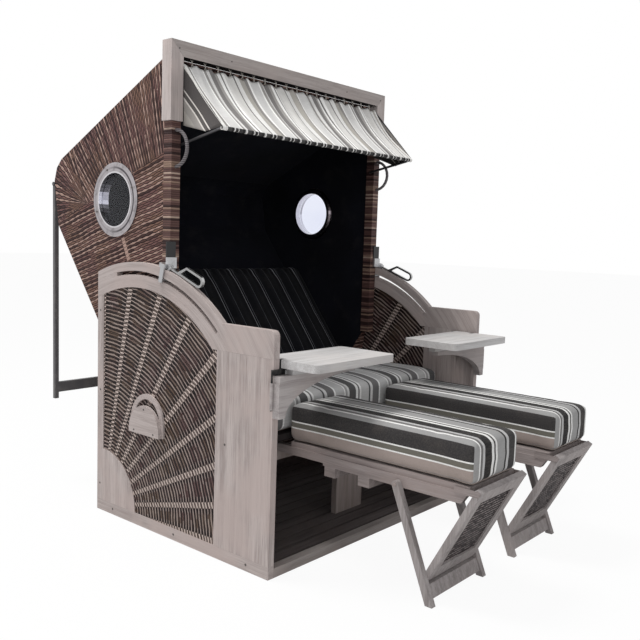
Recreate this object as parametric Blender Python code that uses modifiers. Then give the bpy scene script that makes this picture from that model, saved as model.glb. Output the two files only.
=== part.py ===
"""Two-seat hooded beach chair with a reclining hood, side tables and two footrests.

Metres, +Z up. X runs across the seat, Y from the front of the base to its back.
The origin is on the floor, in the middle of the base's front edge.
"""
import math

import bmesh
import bpy
from mathutils import Matrix, Vector

# Driving sizes of the base
BASE_WIDTH = 1.200
BASE_DEPTH = 0.885
ARM_HEIGHT = 0.752
BOARD = 0.024
GAP = 0.0003
BITE = 0.001

# Side panels of the base
RAIL_HEIGHT = 0.040
STILE_WIDTH = 0.035
FRONT_BOARD_WIDTH = 0.245
ARM_BOARD_HEIGHT = 0.084
ARM_CORNER = 0.018
CORNER_QUADRANT = 0.193
WEAVE = 0.008
WEAVE_RECESS = 0.003

# The arched rail is struck from the pivot of the hood
PIVOT_Y = 0.655
PIVOT_Z = 0.300
ARCH_OUTER = 0.622
ARCH_BAND = 0.087
SLOT_INSET = 0.0365
SLOT_WIDTH = 0.013
SLOT_REAR_ANGLE = -11.5
SLOT_FRONT_ANGLE = 44.0
ARCH_STEP = 2.5
PIVOT_RAIL_THICKNESS = 0.012
PIVOT_RAIL_HEIGHT = 0.060
BOLT_RADIUS = 0.006
BOLT_HEAD = 0.012
BOLT_HEAD_THICKNESS = 0.005
BOLT_PLAY = 0.0004

# Carrying grip on the wicker: an arched ring with a half-moon block over its foot
GRIP_SETBACK = 0.067
GRIP_BOTTOM = 0.336
GRIP_SPRING = 0.374
GRIP_HALF_WIDTH = 0.089
GRIP_RISE = 0.102
GRIP_BAND = 0.018
GRIP_RING_THICKNESS = 0.008
BLOCK_HALF_WIDTH = 0.082
BLOCK_TOP = 0.436
BLOCK_THICKNESS = 0.013

# Floor, seat and inner structure
FRONT_RAIL_DEPTH = 0.028
FRONT_RAIL_HEIGHT = 0.030
BACK_PANEL_HEIGHT = 0.420
SLAT_WIDTH = 0.045
SLAT_SPACE = 0.010
SLAT_THICKNESS = 0.0117
BEARER_WIDTH = 0.030
POST_WIDTH = 0.150
POST_FRONT = 0.170
POST_THICKNESS = 0.022
SEAT_BOARD = 0.020
SEAT_FRONT = 0.140
SEAT_BACK = 0.600
SEAT_SHOULDER = 0.500
LEDGE_WIDTH = 0.028
LEDGE_HEIGHT = 0.032
TRAY_CLEARANCE = 0.0025
BEAM_THICKNESS = 0.020
BEAM_HEIGHT = 0.037

# Hood
HOOD_CLEARANCE = 0.004
HOOD_SKIN = 0.014
HOOD_SIDE = 0.020
LINING = 0.005
HOOD_FRONT = 0.515
HOOD_POST_DEPTH = 0.0405
HOOD_POST_WIDTH = 0.037
HOOD_POST_BOTTOM = 0.620
ROOF_FRONT_Z = 1.5965
ROOF_BACK_Y = 1.173
ROOF_BACK_Z = 1.291
SHOULDER_Y = 1.205
SHOULDER_Z = 1.260
CROWN_Y = 1.222
CROWN_Z = 1.212
WAIST_Y = 1.193
WAIST_Z = 1.040
BACK_FOOT_Y = 0.7018
BACK_FOOT_Z = 0.4074
PIVOT_BOSS = 0.045

# Mitred frame round the top of the hood
FRAME_OVERHANG = 0.011
FRAME_BAR = 0.050
FRAME_DEPTH = 0.047
FRAME_LEAD = 0.007
FRAME_TOP = 1.647
FRAME_BOTTOM = 1.390

# Portholes
PORT_LEFT_Y = 0.8235
PORT_RIGHT_Y = 0.872
PORT_Z = 1.135
PORT_OUTER = 0.131
PORT_CLEAR = 0.094
PORT_SLEEVE = 0.100
PORT_INNER = 0.118
PORT_FLANGE = 0.006
PORT_COLLAR = 0.012
PORT_RIM = 0.104
PORT_PLAY = 0.001
PORT_STEPS = 40
GLASS_THICKNESS = 0.005

# Grab rings on the hood's posts
RING_INSET = 0.018
RING_TOP = 1.362
RING_BOTTOM = 1.242
RING_REACH = 0.060
RING_TUBE = 0.006

# Latches that ride on the arched rail
LATCH_ANGLE = 13.2
LATCH_BLOCK_START = 11.2
LATCH_BLOCK_END = 13.6
LATCH_LIFT = 0.0015
LATCH_BLOCK = 0.016
LATCH_PLATE = 0.004
LATCH_PLATE_HEIGHT = 0.088
LATCH_PLATE_INSET = 0.020
LATCH_PLATE_OVERHANG = 0.018
LATCH_CAP = 0.010
LATCH_CAP_HEIGHT = 0.036
LATCH_PLATE_BOTTOM = 0.908
STRAP_WIDTH = 0.018
STRAP_THICKNESS = 0.005
SLOT_PIN = 0.005
LEVER_PIN_Y = 0.4928
LEVER_PIN_Z = 0.9098
LEVER_PIN = 0.004
LEVER_EYE = 0.0085
LEVER_THICKNESS = 0.010
LEVER_BAR = 0.006
LEVER_SLOPE = 20.8
EAR_THICKNESS = 0.003
HANDLE_RISE = 0.036
HANDLE_START = 0.043
HANDLE_REACH = 0.168
HANDLE_BAR = 0.0075

# Awning and its bow
BOW_POST_Y = 0.532
BOW_Z = 1.315
BOW_FRONT_Y = 0.322
BOW_FRONT_Z = 1.360
BOW_TUBE = 0.005
BOW_SIDE_CLEARANCE = 0.004
BOW_STUD = 0.0035
BOW_STUD_LENGTH = 0.012
AWNING_TOP_Y = 0.520
AWNING_TOP_Z = 1.584
AWNING_THICKNESS = 0.003
AWNING_PLAY = 0.002
AWNING_HEM = 0.020
AWNING_SAG = 0.012
AWNING_FOLD = 0.004
AWNING_FOLDS = 9
AWNING_REAR_Z = 1.378
GUSSET_REACH = 0.93
GUSSET_LOW_SHARE = 0.65

# Stand that hangs behind the hood
STAND_BAR = 0.016
STAND_Y = 1.250
STAND_TOP = 1.200
STAND_BOTTOM = 0.350
STAND_INSET = 0.022
STAND_CROSS_TOP = 0.415
STAND_CROSS_HEIGHT = 0.040
STAND_EAR = 0.004
STAND_PIN = 0.004
STAND_HEAD = 0.003
HINGE_BAR_HEIGHT = 0.030
HINGE_BAR_DEPTH = 0.010

# Side tables
TABLE_LENGTH = 0.382
TABLE_PLAY = 0.007
TABLE_FRONT = -0.140
TABLE_BACK = 0.084
TABLE_TOP_Z = 0.665
TABLE_THICKNESS = 0.0245
TABLE_CORNER = 0.016
TABLE_AXIS_INSET = 0.010
NOTCH_DEPTH = 0.024
NOTCH_FRONT = 0.000
NOTCH_BACK = 0.022
BEARING_PLAY = 0.0025
BEARING_RADIUS = 0.0115
BEARING_DEPTH = 0.016
FITTING_THICKNESS = 0.0055
FITTING_BOTTOM = 0.600
FITTING_TOP = 0.634
TABLE_PIN = 0.003
TABLE_PIN_LENGTH = 0.015
CLEAT_HEIGHT = 0.020
CLEAT_INNER_INSET = 0.043
CLEAT_OUTER_INSET = 0.024
BRACKET_THICKNESS = 0.0275
BRACKET_REACH = 0.326
BRACKET_BOTTOM = 0.495
BRACKET_HEEL = 0.025
BRACKET_NOSE = 0.015
BRACKET_TOP = 0.620
STRAP_BOTTOM = 0.6215
STRAP_TOP = 0.6385
STRAP_DEPTH = 0.003
HINGE_LEAF = 0.0025
HINGE_STANDOFF = 0.0065
HINGE_PIN = 0.003
HINGE_KNUCKLE = 0.005
HINGE_BOTTOM = 0.520
HINGE_TOP = 0.600

# Footrests
TRAY_WIDTH = 0.270
TRAY_INNER = 0.115
TRAY_RAIL = 0.022
TRAY_RAIL_BOTTOM = 0.314
TRAY_RAIL_TOP = 0.348
TRAY_STEP_Y = -0.020
TRAY_STEP_Z = 0.322
TRAY_REAR = 0.240
TRAY_FRONT_TOP = -0.5365
TRAY_FRONT_BOTTOM = -0.5138
TRAY_DECK = 0.0164
DECK_INSET = 0.004
DECK_REAR = 0.120
BATTEN_WIDTH = 0.042
BATTEN_HEIGHT = 0.031
BATTEN_REAR_Y = -0.069
BATTEN_FRONT_Y = -0.202
LEG_THICKNESS = 0.020
LEG_WIDTH = 0.022
LEG_HINGE_Y = -0.308
LEG_HINGE_Z = 0.325
LEG_ANGLE = 22.2
LEG_PIN = 0.004
LEG_PIN_HEAD = 0.007
LEG_HEAD_THICKNESS = 0.003
CROSS_TOP = 0.055
CROSS_BOTTOM = 0.018
CROSS_THICKNESS = 0.014
PANEL_HINGE_Y = -0.5637
PANEL_HINGE_Z = 0.3512
PANEL_THICKNESS = 0.018
PANEL_ANGLE = 28.27
PANEL_ABOVE = 0.0095
PANEL_BELOW = 0.3248
PANEL_SIDE_BORDER = 0.036
PANEL_TOP_BORDER = 0.042
PANEL_BOTTOM_BORDER = 0.046
PANEL_WEAVE = 0.006
PANEL_PIN = 0.003
PANEL_PIN_LENGTH = 0.012
CHEEK_THICKNESS = 0.0018
CHEEK_HEIGHT = 0.018
CHEEK_REACH = 0.072

# Cushions
CUSHION_SIDE_PLAY = 0.017
SEAT_CUSHION_HEIGHT = 0.120
SEAT_CUSHION_FRONT = 0.138
SEAT_CUSHION_BACK = 0.575
FOOT_CUSHION_INSET = 0.013
FOOT_CUSHION_OVERHANG = 0.005
FOOT_CUSHION_FRONT = -0.559
FOOT_CUSHION_BACK = 0.134
FOOT_CUSHION_HEIGHT = 0.112
BACK_CUSHION_LENGTH = 0.520
BACK_CUSHION_HEIGHT = 0.095
BACK_CUSHION_START = 0.012
CUSHION_ROUND = 0.024
CUSHION_CROWN = 0.014
CUSHION_DRAW = 0.008
BACK_CHANNEL = 0.007
BACK_CHANNELS = 6

# Derived places
HALF = BASE_WIDTH / 2
INNER = HALF - BOARD
HOOD_HALF = INNER - HOOD_CLEARANCE
SHELL_HALF = HOOD_HALF - HOOD_SIDE
ARCH_INNER = ARCH_OUTER - ARCH_BAND
SLOT_RADIUS = ARCH_OUTER - SLOT_INSET
GRIP_Y = PIVOT_Y - GRIP_SETBACK
FRAME_WIDTH = 2 * (HOOD_HALF + FRAME_OVERHANG)
FRAME_FRONT = HOOD_FRONT - FRAME_LEAD
PORT_Y = {-1: PORT_LEFT_Y, 1: PORT_RIGHT_Y}
RING_X = HOOD_HALF - RING_INSET
LATCH_PLATE_INNER = HOOD_HALF - LATCH_PLATE_INSET
LATCH_PLATE_OUTER = HOOD_HALF + LATCH_PLATE_OVERHANG
AWNING_HALF_WIDTH = FRAME_WIDTH / 2 - FRAME_BAR - AWNING_PLAY
STAND_X = HOOD_HALF - STAND_INSET
TABLE_OUTER = INNER - TABLE_PLAY
TABLE_INNER = TABLE_OUTER - TABLE_LENGTH
TABLE_AXIS = TABLE_OUTER - TABLE_AXIS_INSET
CLEAT_INNER = TABLE_INNER + CLEAT_INNER_INSET
CLEAT_OUTER = TABLE_OUTER - CLEAT_OUTER_INSET
BRACKET_INNER = INNER - BRACKET_REACH
TRAY_OUTER = TRAY_INNER + TRAY_WIDTH
CUSHION_WIDTH = 2 * (SHELL_HALF - LINING - CUSHION_SIDE_PLAY)
FOOT_CUSHION_INNER = TRAY_INNER + FOOT_CUSHION_INSET
FOOT_CUSHION_OUTER = TRAY_OUTER + FOOT_CUSHION_OVERHANG
ARM_JOINT_Z = ARM_HEIGHT - ARM_BOARD_HEIGHT
SLOT_OUT = SLOT_RADIUS + SLOT_WIDTH / 2
SLOT_IN = SLOT_RADIUS - SLOT_WIDTH / 2
DECK_TOP = TRAY_RAIL_TOP + TRAY_DECK
SEAT_BOARD_BOTTOM = DECK_TOP + TRAY_CLEARANCE
HINGE_X = HALF + HINGE_STANDOFF
TABLE_AXIS_Z = TABLE_TOP_Z - TABLE_THICKNESS / 2
SEAT_BOARD_TOP = SEAT_BOARD_BOTTOM + SEAT_BOARD
BACK_Y = BASE_DEPTH - BOARD

WOOD = ((0.56, 0.50, 0.48, 1.0), 0.62, 0.0)
DARK_WOOD = ((0.40, 0.35, 0.34, 1.0), 0.66, 0.0)
WICKER = ((0.20, 0.14, 0.13, 1.0), 0.62, 0.0)
NAVY = ((0.012, 0.014, 0.024, 1.0), 0.92, 0.0)
STRIPED = ((0.34, 0.34, 0.34, 1.0), 0.90, 0.0)
CREAM = ((0.66, 0.64, 0.58, 1.0), 0.88, 0.0)
STEEL = ((0.60, 0.61, 0.63, 1.0), 0.24, 1.0)
DARK_STEEL = ((0.10, 0.10, 0.11, 1.0), 0.40, 1.0)
GREY_PAINT = ((0.27, 0.28, 0.29, 1.0), 0.55, 0.0)
GLASS = ((0.10, 0.12, 0.13, 1.0), 0.06, 0.0)

PLANE_YZ = (math.radians(90), 0, math.radians(90))
PLANE_XZ = (math.radians(90), 0, 0)
PLANE_XY = (0, 0, 0)
SIDES = (("left", -1), ("right", 1))


def start_scene():
    for item in list(bpy.data.objects):
        bpy.data.objects.remove(item, do_unlink=True)
    folder = bpy.data.collections.new("hooded_beach_chair")
    cutters = bpy.data.collections.new("cutters")
    for collection in (folder, cutters):
        bpy.context.scene.collection.children.link(collection)
    return folder, cutters


PARTS, CUTTERS = start_scene()


def material(name, look):
    colour, roughness, metallic = look
    made = bpy.data.materials.new(name)
    made.use_nodes = True
    shader = made.node_tree.nodes["Principled BSDF"]
    shader.inputs["Base Color"].default_value = colour
    shader.inputs["Roughness"].default_value = roughness
    shader.inputs["Metallic"].default_value = metallic
    made.diffuse_color = colour
    return made


def keep(piece, look):
    """Names the piece's own material and puts the piece in the part's collection."""
    PARTS.objects.link(piece)
    piece.data.materials.append(material(piece.name + "_material", look))
    return piece


def pivot(name, place, carrier=None):
    """An empty on a joint's axis, which carries the pieces that move with it."""
    holder = bpy.data.objects.new(name, None)
    holder.location = place
    PARTS.objects.link(holder)
    return ride(holder, carrier) if carrier else holder


def ride(piece, holder):
    """Parents a piece to its joint's empty and leaves it where it is."""
    piece.parent = holder
    piece.matrix_parent_inverse = Matrix.Translation(holder.location).inverted()
    return piece


def arc(centre, radius, start, end, steps):
    """Points on an arc, in the outline's plane, with angles in degrees from its first axis."""
    points = []
    for step in range(steps + 1):
        angle = math.radians(start + (end - start) * step / steps)
        points.append((centre[0] + radius * math.cos(angle), centre[1] + radius * math.sin(angle)))
    return points


def arch_point(radius, angle):
    """A point on a circle about the hood's pivot, at an angle from upright towards the front."""
    turn = math.radians(angle)
    return (PIVOT_Y - radius * math.sin(turn), PIVOT_Z + radius * math.cos(turn))


def arch_line(radius, start, end):
    """An arc about the hood's pivot, with points at whole steps so that neighbours run parallel."""
    low, high = sorted((start, end))
    angles = [low]
    step = math.floor(low / ARCH_STEP) + 1
    while step * ARCH_STEP < high:
        if step * ARCH_STEP - angles[-1] > ARCH_STEP / 10:
            angles.append(step * ARCH_STEP)
        step += 1
    angles.append(high)
    if start > end:
        angles.reverse()
    return [arch_point(radius, angle) for angle in angles]


def arch_angle_at_y(radius, y):
    return math.degrees(math.asin((PIVOT_Y - y) / radius))


def arch_angle_at_z(radius, z):
    return math.degrees(math.acos((z - PIVOT_Z) / radius))


def as_mesh(piece):
    """Turns a curve object into a closed mesh object of the same name."""
    bpy.context.view_layer.update()
    graph = bpy.context.evaluated_depsgraph_get()
    mesh = bpy.data.meshes.new_from_object(piece.evaluated_get(graph))
    work = bmesh.new()
    work.from_mesh(mesh)
    bmesh.ops.remove_doubles(work, verts=work.verts, dist=GAP / 10)
    bmesh.ops.recalc_face_normals(work, faces=work.faces)
    work.to_mesh(mesh)
    work.free()
    name = piece.name
    place = piece.matrix_world.copy()
    homes = list(piece.users_collection)
    bpy.data.objects.remove(piece, do_unlink=True)
    solid = bpy.data.objects.new(name, mesh)
    solid.matrix_world = place
    for home in homes:
        home.objects.link(solid)
    return solid


def flat_curve(name, outlines, thickness, plane, level):
    """A plate from closed outlines, its middle at the level along the plane's normal."""
    shape = bpy.data.curves.new(name, "CURVE")
    shape.dimensions = "2D"
    shape.fill_mode = "BOTH"
    shape.extrude = thickness / 2
    for outline in outlines:
        line = shape.splines.new("POLY")
        line.points.add(len(outline) - 1)
        for point, (across, along) in zip(line.points, outline):
            point.co = (across, along, 0, 1)
        line.use_cyclic_u = True
    piece = bpy.data.objects.new(name, shape)
    piece.rotation_euler = plane
    if plane == PLANE_YZ:
        piece.location = (level, 0, 0)
    elif plane == PLANE_XZ:
        piece.location = (0, level, 0)
    else:
        piece.location = (0, 0, level)
    return piece


def side_plate(name, outline, side, near, far, look, holes=()):
    """A plate in the YZ plane that fills |X| from near to far on one side."""
    piece = flat_curve(name, [outline, *holes], far - near, PLANE_YZ, side * (near + far) / 2)
    return keep(piece, look)


def box_mesh(name, low, high):
    work = bmesh.new()
    bmesh.ops.create_cube(work, size=1)
    size = [far - near for near, far in zip(low, high)]
    bmesh.ops.scale(work, vec=size, verts=work.verts)
    mesh = bpy.data.meshes.new(name)
    work.to_mesh(mesh)
    work.free()
    piece = bpy.data.objects.new(name, mesh)
    piece.location = [(near + far) / 2 for near, far in zip(low, high)]
    return piece


def box(name, low, high, look):
    return keep(box_mesh(name, low, high), look)


def mirrored_box(name, side, x_range, y_range, z_range, look):
    near, far = sorted(side * value for value in x_range)
    return box(name, (near, y_range[0], z_range[0]), (far, y_range[1], z_range[1]), look)


def rod_mesh(name, start, end, radius, sides=16):
    """A round rod between two points."""
    work = bmesh.new()
    start, end = Vector(start), Vector(end)
    bmesh.ops.create_cone(
        work, cap_ends=True, segments=sides, radius1=radius, radius2=radius, depth=(end - start).length
    )
    mesh = bpy.data.meshes.new(name)
    work.to_mesh(mesh)
    work.free()
    mesh.shade_smooth()
    mesh.set_sharp_from_angle(angle=math.radians(40))
    piece = bpy.data.objects.new(name, mesh)
    piece.location = (start + end) / 2
    piece.rotation_euler = (end - start).to_track_quat("Z", "Y").to_euler()
    return piece


def ready(piece):
    """Puts a helper piece in the cutters' collection, as a closed mesh."""
    CUTTERS.objects.link(piece)
    if piece.type == "CURVE":
        piece = as_mesh(piece)
    return piece


def fuse(name, pieces, look):
    """One solid of several pieces that overlap a little, by Boolean unions."""
    first, *others = [ready(piece) for piece in pieces]
    CUTTERS.objects.unlink(first)
    first.name = name
    for other in others:
        other.hide_render = True
        other.display_type = "WIRE"
        step = first.modifiers.new("join_" + other.name, "BOOLEAN")
        step.operation = "UNION"
        step.solver = "EXACT"
        step.object = other
    return keep(first, look)


def cut(piece, cutter):
    """Cuts one piece with another by a Boolean modifier."""
    cutter = ready(cutter)
    cutter.hide_render = True
    cutter.display_type = "WIRE"
    step = piece.modifiers.new("cut_" + cutter.name, "BOOLEAN")
    step.operation = "DIFFERENCE"
    step.solver = "EXACT"
    step.object = cutter
    return piece


def tube(name, points, radius, smooth=2):
    """A round bar along a line of points."""
    shape = bpy.data.curves.new(name, "CURVE")
    shape.dimensions = "3D"
    shape.bevel_depth = radius
    shape.bevel_resolution = smooth
    shape.use_fill_caps = True
    line = shape.splines.new("POLY")
    line.points.add(len(points) - 1)
    for point, place in zip(line.points, points):
        point.co = (*place, 1)
    return bpy.data.objects.new(name, shape)


def offset_line(points, distance):
    """A line moved to its right-hand side by a distance, with mitred corners."""
    moved = []
    last = len(points) - 1
    for index, point in enumerate(points):
        here = Vector(point)
        before = (here - Vector(points[index - 1])).normalized() if index else None
        after = (Vector(points[index + 1]) - here).normalized() if index < last else None
        before = before or after
        after = after or before
        normal_before = Vector((before.y, -before.x))
        normal_after = Vector((after.y, -after.x))
        middle = (normal_before + normal_after).normalized()
        moved.append(tuple(here + middle * (distance / middle.dot(normal_before))))
    return moved


def side_frame(word, side):
    """The boards, arched rail and wicker of one side of the base."""
    span = (INNER, HALF)
    rear_outer = arch_angle_at_y(ARCH_OUTER, BASE_DEPTH)
    rear_slot = arch_angle_at_y(SLOT_OUT, BASE_DEPTH)
    rear_inner = arch_angle_at_y(ARCH_INNER, BASE_DEPTH)
    stile_front = BASE_DEPTH - STILE_WIDTH

    rail = [(0, 0), (BASE_DEPTH, 0), (BASE_DEPTH, RAIL_HEIGHT), (0, RAIL_HEIGHT)]
    side_plate(f"base_rail_{word}", rail, side, *span, WOOD)

    top = ARM_JOINT_Z - GAP
    bottom = RAIL_HEIGHT + GAP
    board = [(0, bottom), (FRONT_BOARD_WIDTH, bottom), (FRONT_BOARD_WIDTH, top), (0, top)]
    side_plate(f"base_front_board_{word}", board, side, *span, WOOD)

    stile_top = ARCH_INNER - GAP
    stile = [(BASE_DEPTH, bottom)]
    stile += arch_line(stile_top, arch_angle_at_y(stile_top, BASE_DEPTH),
                       arch_angle_at_y(stile_top, stile_front))

    arm_end = arch_angle_at_z(ARCH_OUTER, ARM_HEIGHT)
    corner = (ARM_CORNER, ARM_HEIGHT - ARM_CORNER)
    outer = arch_line(ARCH_OUTER, rear_outer, arm_end)
    outer += arc(corner, ARM_CORNER, 90, 180, 4)
    outer += [(0, ARM_JOINT_Z)]
    outer += arch_line(SLOT_OUT, arch_angle_at_z(SLOT_OUT, ARM_JOINT_Z), rear_slot)
    side_plate(f"base_arch_rail_{word}", outer, side, *span, WOOD)

    under = SLOT_OUT - GAP
    inner = arch_line(ARCH_INNER, rear_inner, arch_angle_at_z(ARCH_INNER, ARM_JOINT_Z))
    inner += arch_line(under, arch_angle_at_z(under, ARM_JOINT_Z), SLOT_FRONT_ANGLE)
    inner += arch_line(SLOT_IN, SLOT_FRONT_ANGLE, SLOT_REAR_ANGLE)
    inner += arch_line(under, SLOT_REAR_ANGLE, arch_angle_at_y(under, BASE_DEPTH))
    side_plate(f"base_arch_lath_{word}", inner, side, *span, WOOD)

    foot = (stile_front, bottom)
    stile += arc(foot, CORNER_QUADRANT, 90, 180, 8)
    side_plate(f"base_rear_stile_{word}", stile, side, *span, WOOD)

    weave_far = HALF - WEAVE_RECESS
    weave = [(FRONT_BOARD_WIDTH + GAP, RAIL_HEIGHT + GAP)]
    weave += arc(foot, CORNER_QUADRANT + GAP, 180, 90, 8)
    window = ARCH_INNER - GAP
    weave += arch_line(window, arch_angle_at_y(window, stile_front - GAP),
                       arch_angle_at_z(window, ARM_JOINT_Z - GAP))
    weave += [(FRONT_BOARD_WIDTH + GAP, ARM_JOINT_Z - GAP)]
    side_plate(f"base_wicker_{word}", weave, side, weave_far - WEAVE, weave_far, WICKER)

    low = PIVOT_Z - PIVOT_RAIL_HEIGHT / 2
    high = PIVOT_Z + PIVOT_RAIL_HEIGHT / 2
    front = FRONT_BOARD_WIDTH + GAP
    back = stile_front - GAP
    strip = [(front, low), (back, low), (back, high), (front, high)]
    board = flat_curve(f"pivot_board_{word}", [strip], PIVOT_RAIL_THICKNESS, PLANE_YZ,
                       side * (INNER + PIVOT_RAIL_THICKNESS / 2))
    inner = SHELL_HALF - GAP
    bolt = rod_mesh(f"bolt_{word}", (side * (inner - BITE), PIVOT_Y, PIVOT_Z),
                    (side * (INNER + PIVOT_RAIL_THICKNESS / 2), PIVOT_Y, PIVOT_Z), BOLT_RADIUS, 16)
    head = rod_mesh(f"bolt_head_{word}", (side * inner, PIVOT_Y, PIVOT_Z),
                    (side * (inner - BOLT_HEAD_THICKNESS), PIVOT_Y, PIVOT_Z), BOLT_HEAD, 16)
    fuse(f"pivot_rail_{word}", [board, bolt, head], DARK_WOOD)


def grip(word, side):
    """Carrying grip: an arched ring on the wicker and the half-moon block over its foot."""
    near = HALF - WEAVE_RECESS + GAP
    far = near + GRIP_RING_THICKNESS

    def arch(half_width, rise, reverse=False):
        line = []
        for step in range(15):
            turn = math.radians(180 * step / 14)
            line.append((GRIP_Y + half_width * math.cos(turn), GRIP_SPRING + rise * math.sin(turn)))
        return line[::-1] if reverse else line

    slim = GRIP_HALF_WIDTH - GRIP_BAND
    outline = [(GRIP_Y + GRIP_HALF_WIDTH, GRIP_BOTTOM)] + arch(GRIP_HALF_WIDTH, GRIP_RISE)
    outline += [(GRIP_Y - GRIP_HALF_WIDTH, GRIP_BOTTOM), (GRIP_Y - slim, GRIP_BOTTOM)]
    outline += arch(slim, GRIP_RISE - GRIP_BAND, True) + [(GRIP_Y + slim, GRIP_BOTTOM)]
    ring = flat_curve(f"grip_ring_{word}", [outline], far - near, PLANE_YZ, side * (near + far) / 2)
    block = [(GRIP_Y + BLOCK_HALF_WIDTH, GRIP_BOTTOM)]
    rise = BLOCK_TOP - GRIP_BOTTOM - BLOCK_THICKNESS
    for step in range(13):
        turn = math.radians(180 * step / 12)
        block.append((GRIP_Y + BLOCK_HALF_WIDTH * math.cos(turn),
                      GRIP_BOTTOM + BLOCK_THICKNESS + rise * math.sin(turn)))
    block.append((GRIP_Y - BLOCK_HALF_WIDTH, GRIP_BOTTOM))
    start = far - BITE
    end = far + BLOCK_THICKNESS
    plate = flat_curve(f"grip_block_{word}", [block], end - start, PLANE_YZ, side * (start + end) / 2)
    return fuse(f"carry_grip_{word}", [ring, plate], WOOD)


def base():
    for word, side in SIDES:
        side_frame(word, side)
        grip(word, side)

    wide = INNER - GAP
    box("base_front_rail", (-wide, 0, 0), (wide, FRONT_RAIL_DEPTH, FRONT_RAIL_HEIGHT), WOOD)
    box("base_back_panel", (-wide, BACK_Y, 0), (wide, BASE_DEPTH, BACK_PANEL_HEIGHT), WICKER)
    floor_grid(wide)
    seat_support(wide)
    seat_board(wide)


def seat_support(wide):
    """Post in the middle of the footwell and the beam behind it that the trays slide on."""
    half_post = POST_WIDTH / 2
    post_back = POST_FRONT + POST_THICKNESS
    post = box_mesh("post", (-half_post, POST_FRONT, FRONT_RAIL_HEIGHT + GAP),
                    (half_post, post_back, SEAT_BOARD_BOTTOM - GAP))
    beam_top = TRAY_STEP_Z - GAP
    beam = box_mesh("beam", (-wide, post_back - BITE, beam_top - BEAM_HEIGHT),
                    (wide, post_back + BEAM_THICKNESS, beam_top))
    return fuse("seat_post_and_beam", [post, beam], WOOD)


def seat_board(wide):
    """Board under the seat cushion, with a ledge at each end."""
    narrow = SHELL_HALF - HOOD_CLEARANCE
    outline = [(-wide, SEAT_FRONT), (wide, SEAT_FRONT), (wide, SEAT_SHOULDER), (narrow, SEAT_SHOULDER),
               (narrow, SEAT_BACK), (-narrow, SEAT_BACK), (-narrow, SEAT_SHOULDER), (-wide, SEAT_SHOULDER)]
    level = (SEAT_BOARD_BOTTOM + SEAT_BOARD_TOP) / 2
    pieces = [flat_curve("board", [outline], SEAT_BOARD, PLANE_XY, level)]
    for word, side in SIDES:
        near, far = sorted((side * wide, side * (wide - LEDGE_WIDTH)))
        pieces.append(box_mesh(f"ledge_{word}", (near, SEAT_FRONT, SEAT_BOARD_BOTTOM - LEDGE_HEIGHT),
                               (far, SEAT_SHOULDER, SEAT_BOARD_BOTTOM + BITE)))
    return fuse("seat_board", pieces, DARK_WOOD)


def floor_grid(wide):
    """Slats across the base on three bearers."""
    top = FRONT_RAIL_HEIGHT
    low = top - SLAT_THICKNESS
    start = FRONT_RAIL_DEPTH + GAP
    pieces = []
    for middle in (-(wide - BEARER_WIDTH / 2), 0, wide - BEARER_WIDTH / 2):
        pieces.append(box_mesh(f"bearer_{len(pieces)}", (middle - BEARER_WIDTH / 2, start, 0),
                               (middle + BEARER_WIDTH / 2, BACK_Y - GAP, low + BITE)))
    joined = []
    for index in range(int((BACK_Y - GAP - start) / (SLAT_WIDTH + SLAT_SPACE))):
        front = start + SLAT_SPACE + index * (SLAT_WIDTH + SLAT_SPACE)
        joined.append(box_mesh(f"slat_{index}", (-wide, front, low), (wide, front + SLAT_WIDTH, top)))
    return fuse("base_floor_slats", joined[:1] + pieces + joined[1:], DARK_WOOD)


def hood_section():
    """The hood's outer line in the YZ plane, from the roof's front down to the back's foot."""
    front = HOOD_FRONT + HOOD_POST_DEPTH + GAP
    return [(front, ROOF_FRONT_Z), (ROOF_BACK_Y, ROOF_BACK_Z), (SHOULDER_Y, SHOULDER_Z),
            (CROWN_Y, CROWN_Z), (WAIST_Y, WAIST_Z), (BACK_FOOT_Y, BACK_FOOT_Z)]


def inside_line(depth):
    """The hood's section moved inwards, with its first point on the plane of the roof's front."""
    section = hood_section()
    line = offset_line(section, depth)
    start, second = Vector(line[0]), Vector(line[1])
    share = (section[0][0] - start.x) / (second.x - start.x)
    return [tuple(start.lerp(second, share)), *line[1:]]


def hood_side_outline():
    """The side's outline, which ends in a boss round the pivot bolt."""
    section = hood_section()
    front = section[0][0]
    foot = Vector(section[-1])
    up = (Vector(section[-2]) - foot).normalized()
    centre = Vector((PIVOT_Y, PIVOT_Z))
    to_foot = foot - centre
    beside = to_foot - up * to_foot.dot(up)
    meets = centre + beside + up * math.sqrt(PIVOT_BOSS ** 2 - beside.length_squared)
    start = math.degrees(math.atan2(meets.y - centre.y, meets.x - centre.x))
    knee = Vector((front, HOOD_POST_BOTTOM))
    to_knee = knee - centre
    turn = math.degrees(math.atan2(to_knee.y, to_knee.x))
    end = turn + math.degrees(math.acos(PIVOT_BOSS / to_knee.length)) - 360
    boss = arc(centre, PIVOT_BOSS, start, end, 12)
    return section[:-1] + boss + [tuple(knee)]


def port_circle(side, radius):
    last = 360 - 360 / PORT_STEPS
    return arc((PORT_Y[side], PORT_Z), radius, 0, last, PORT_STEPS - 1)


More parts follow.
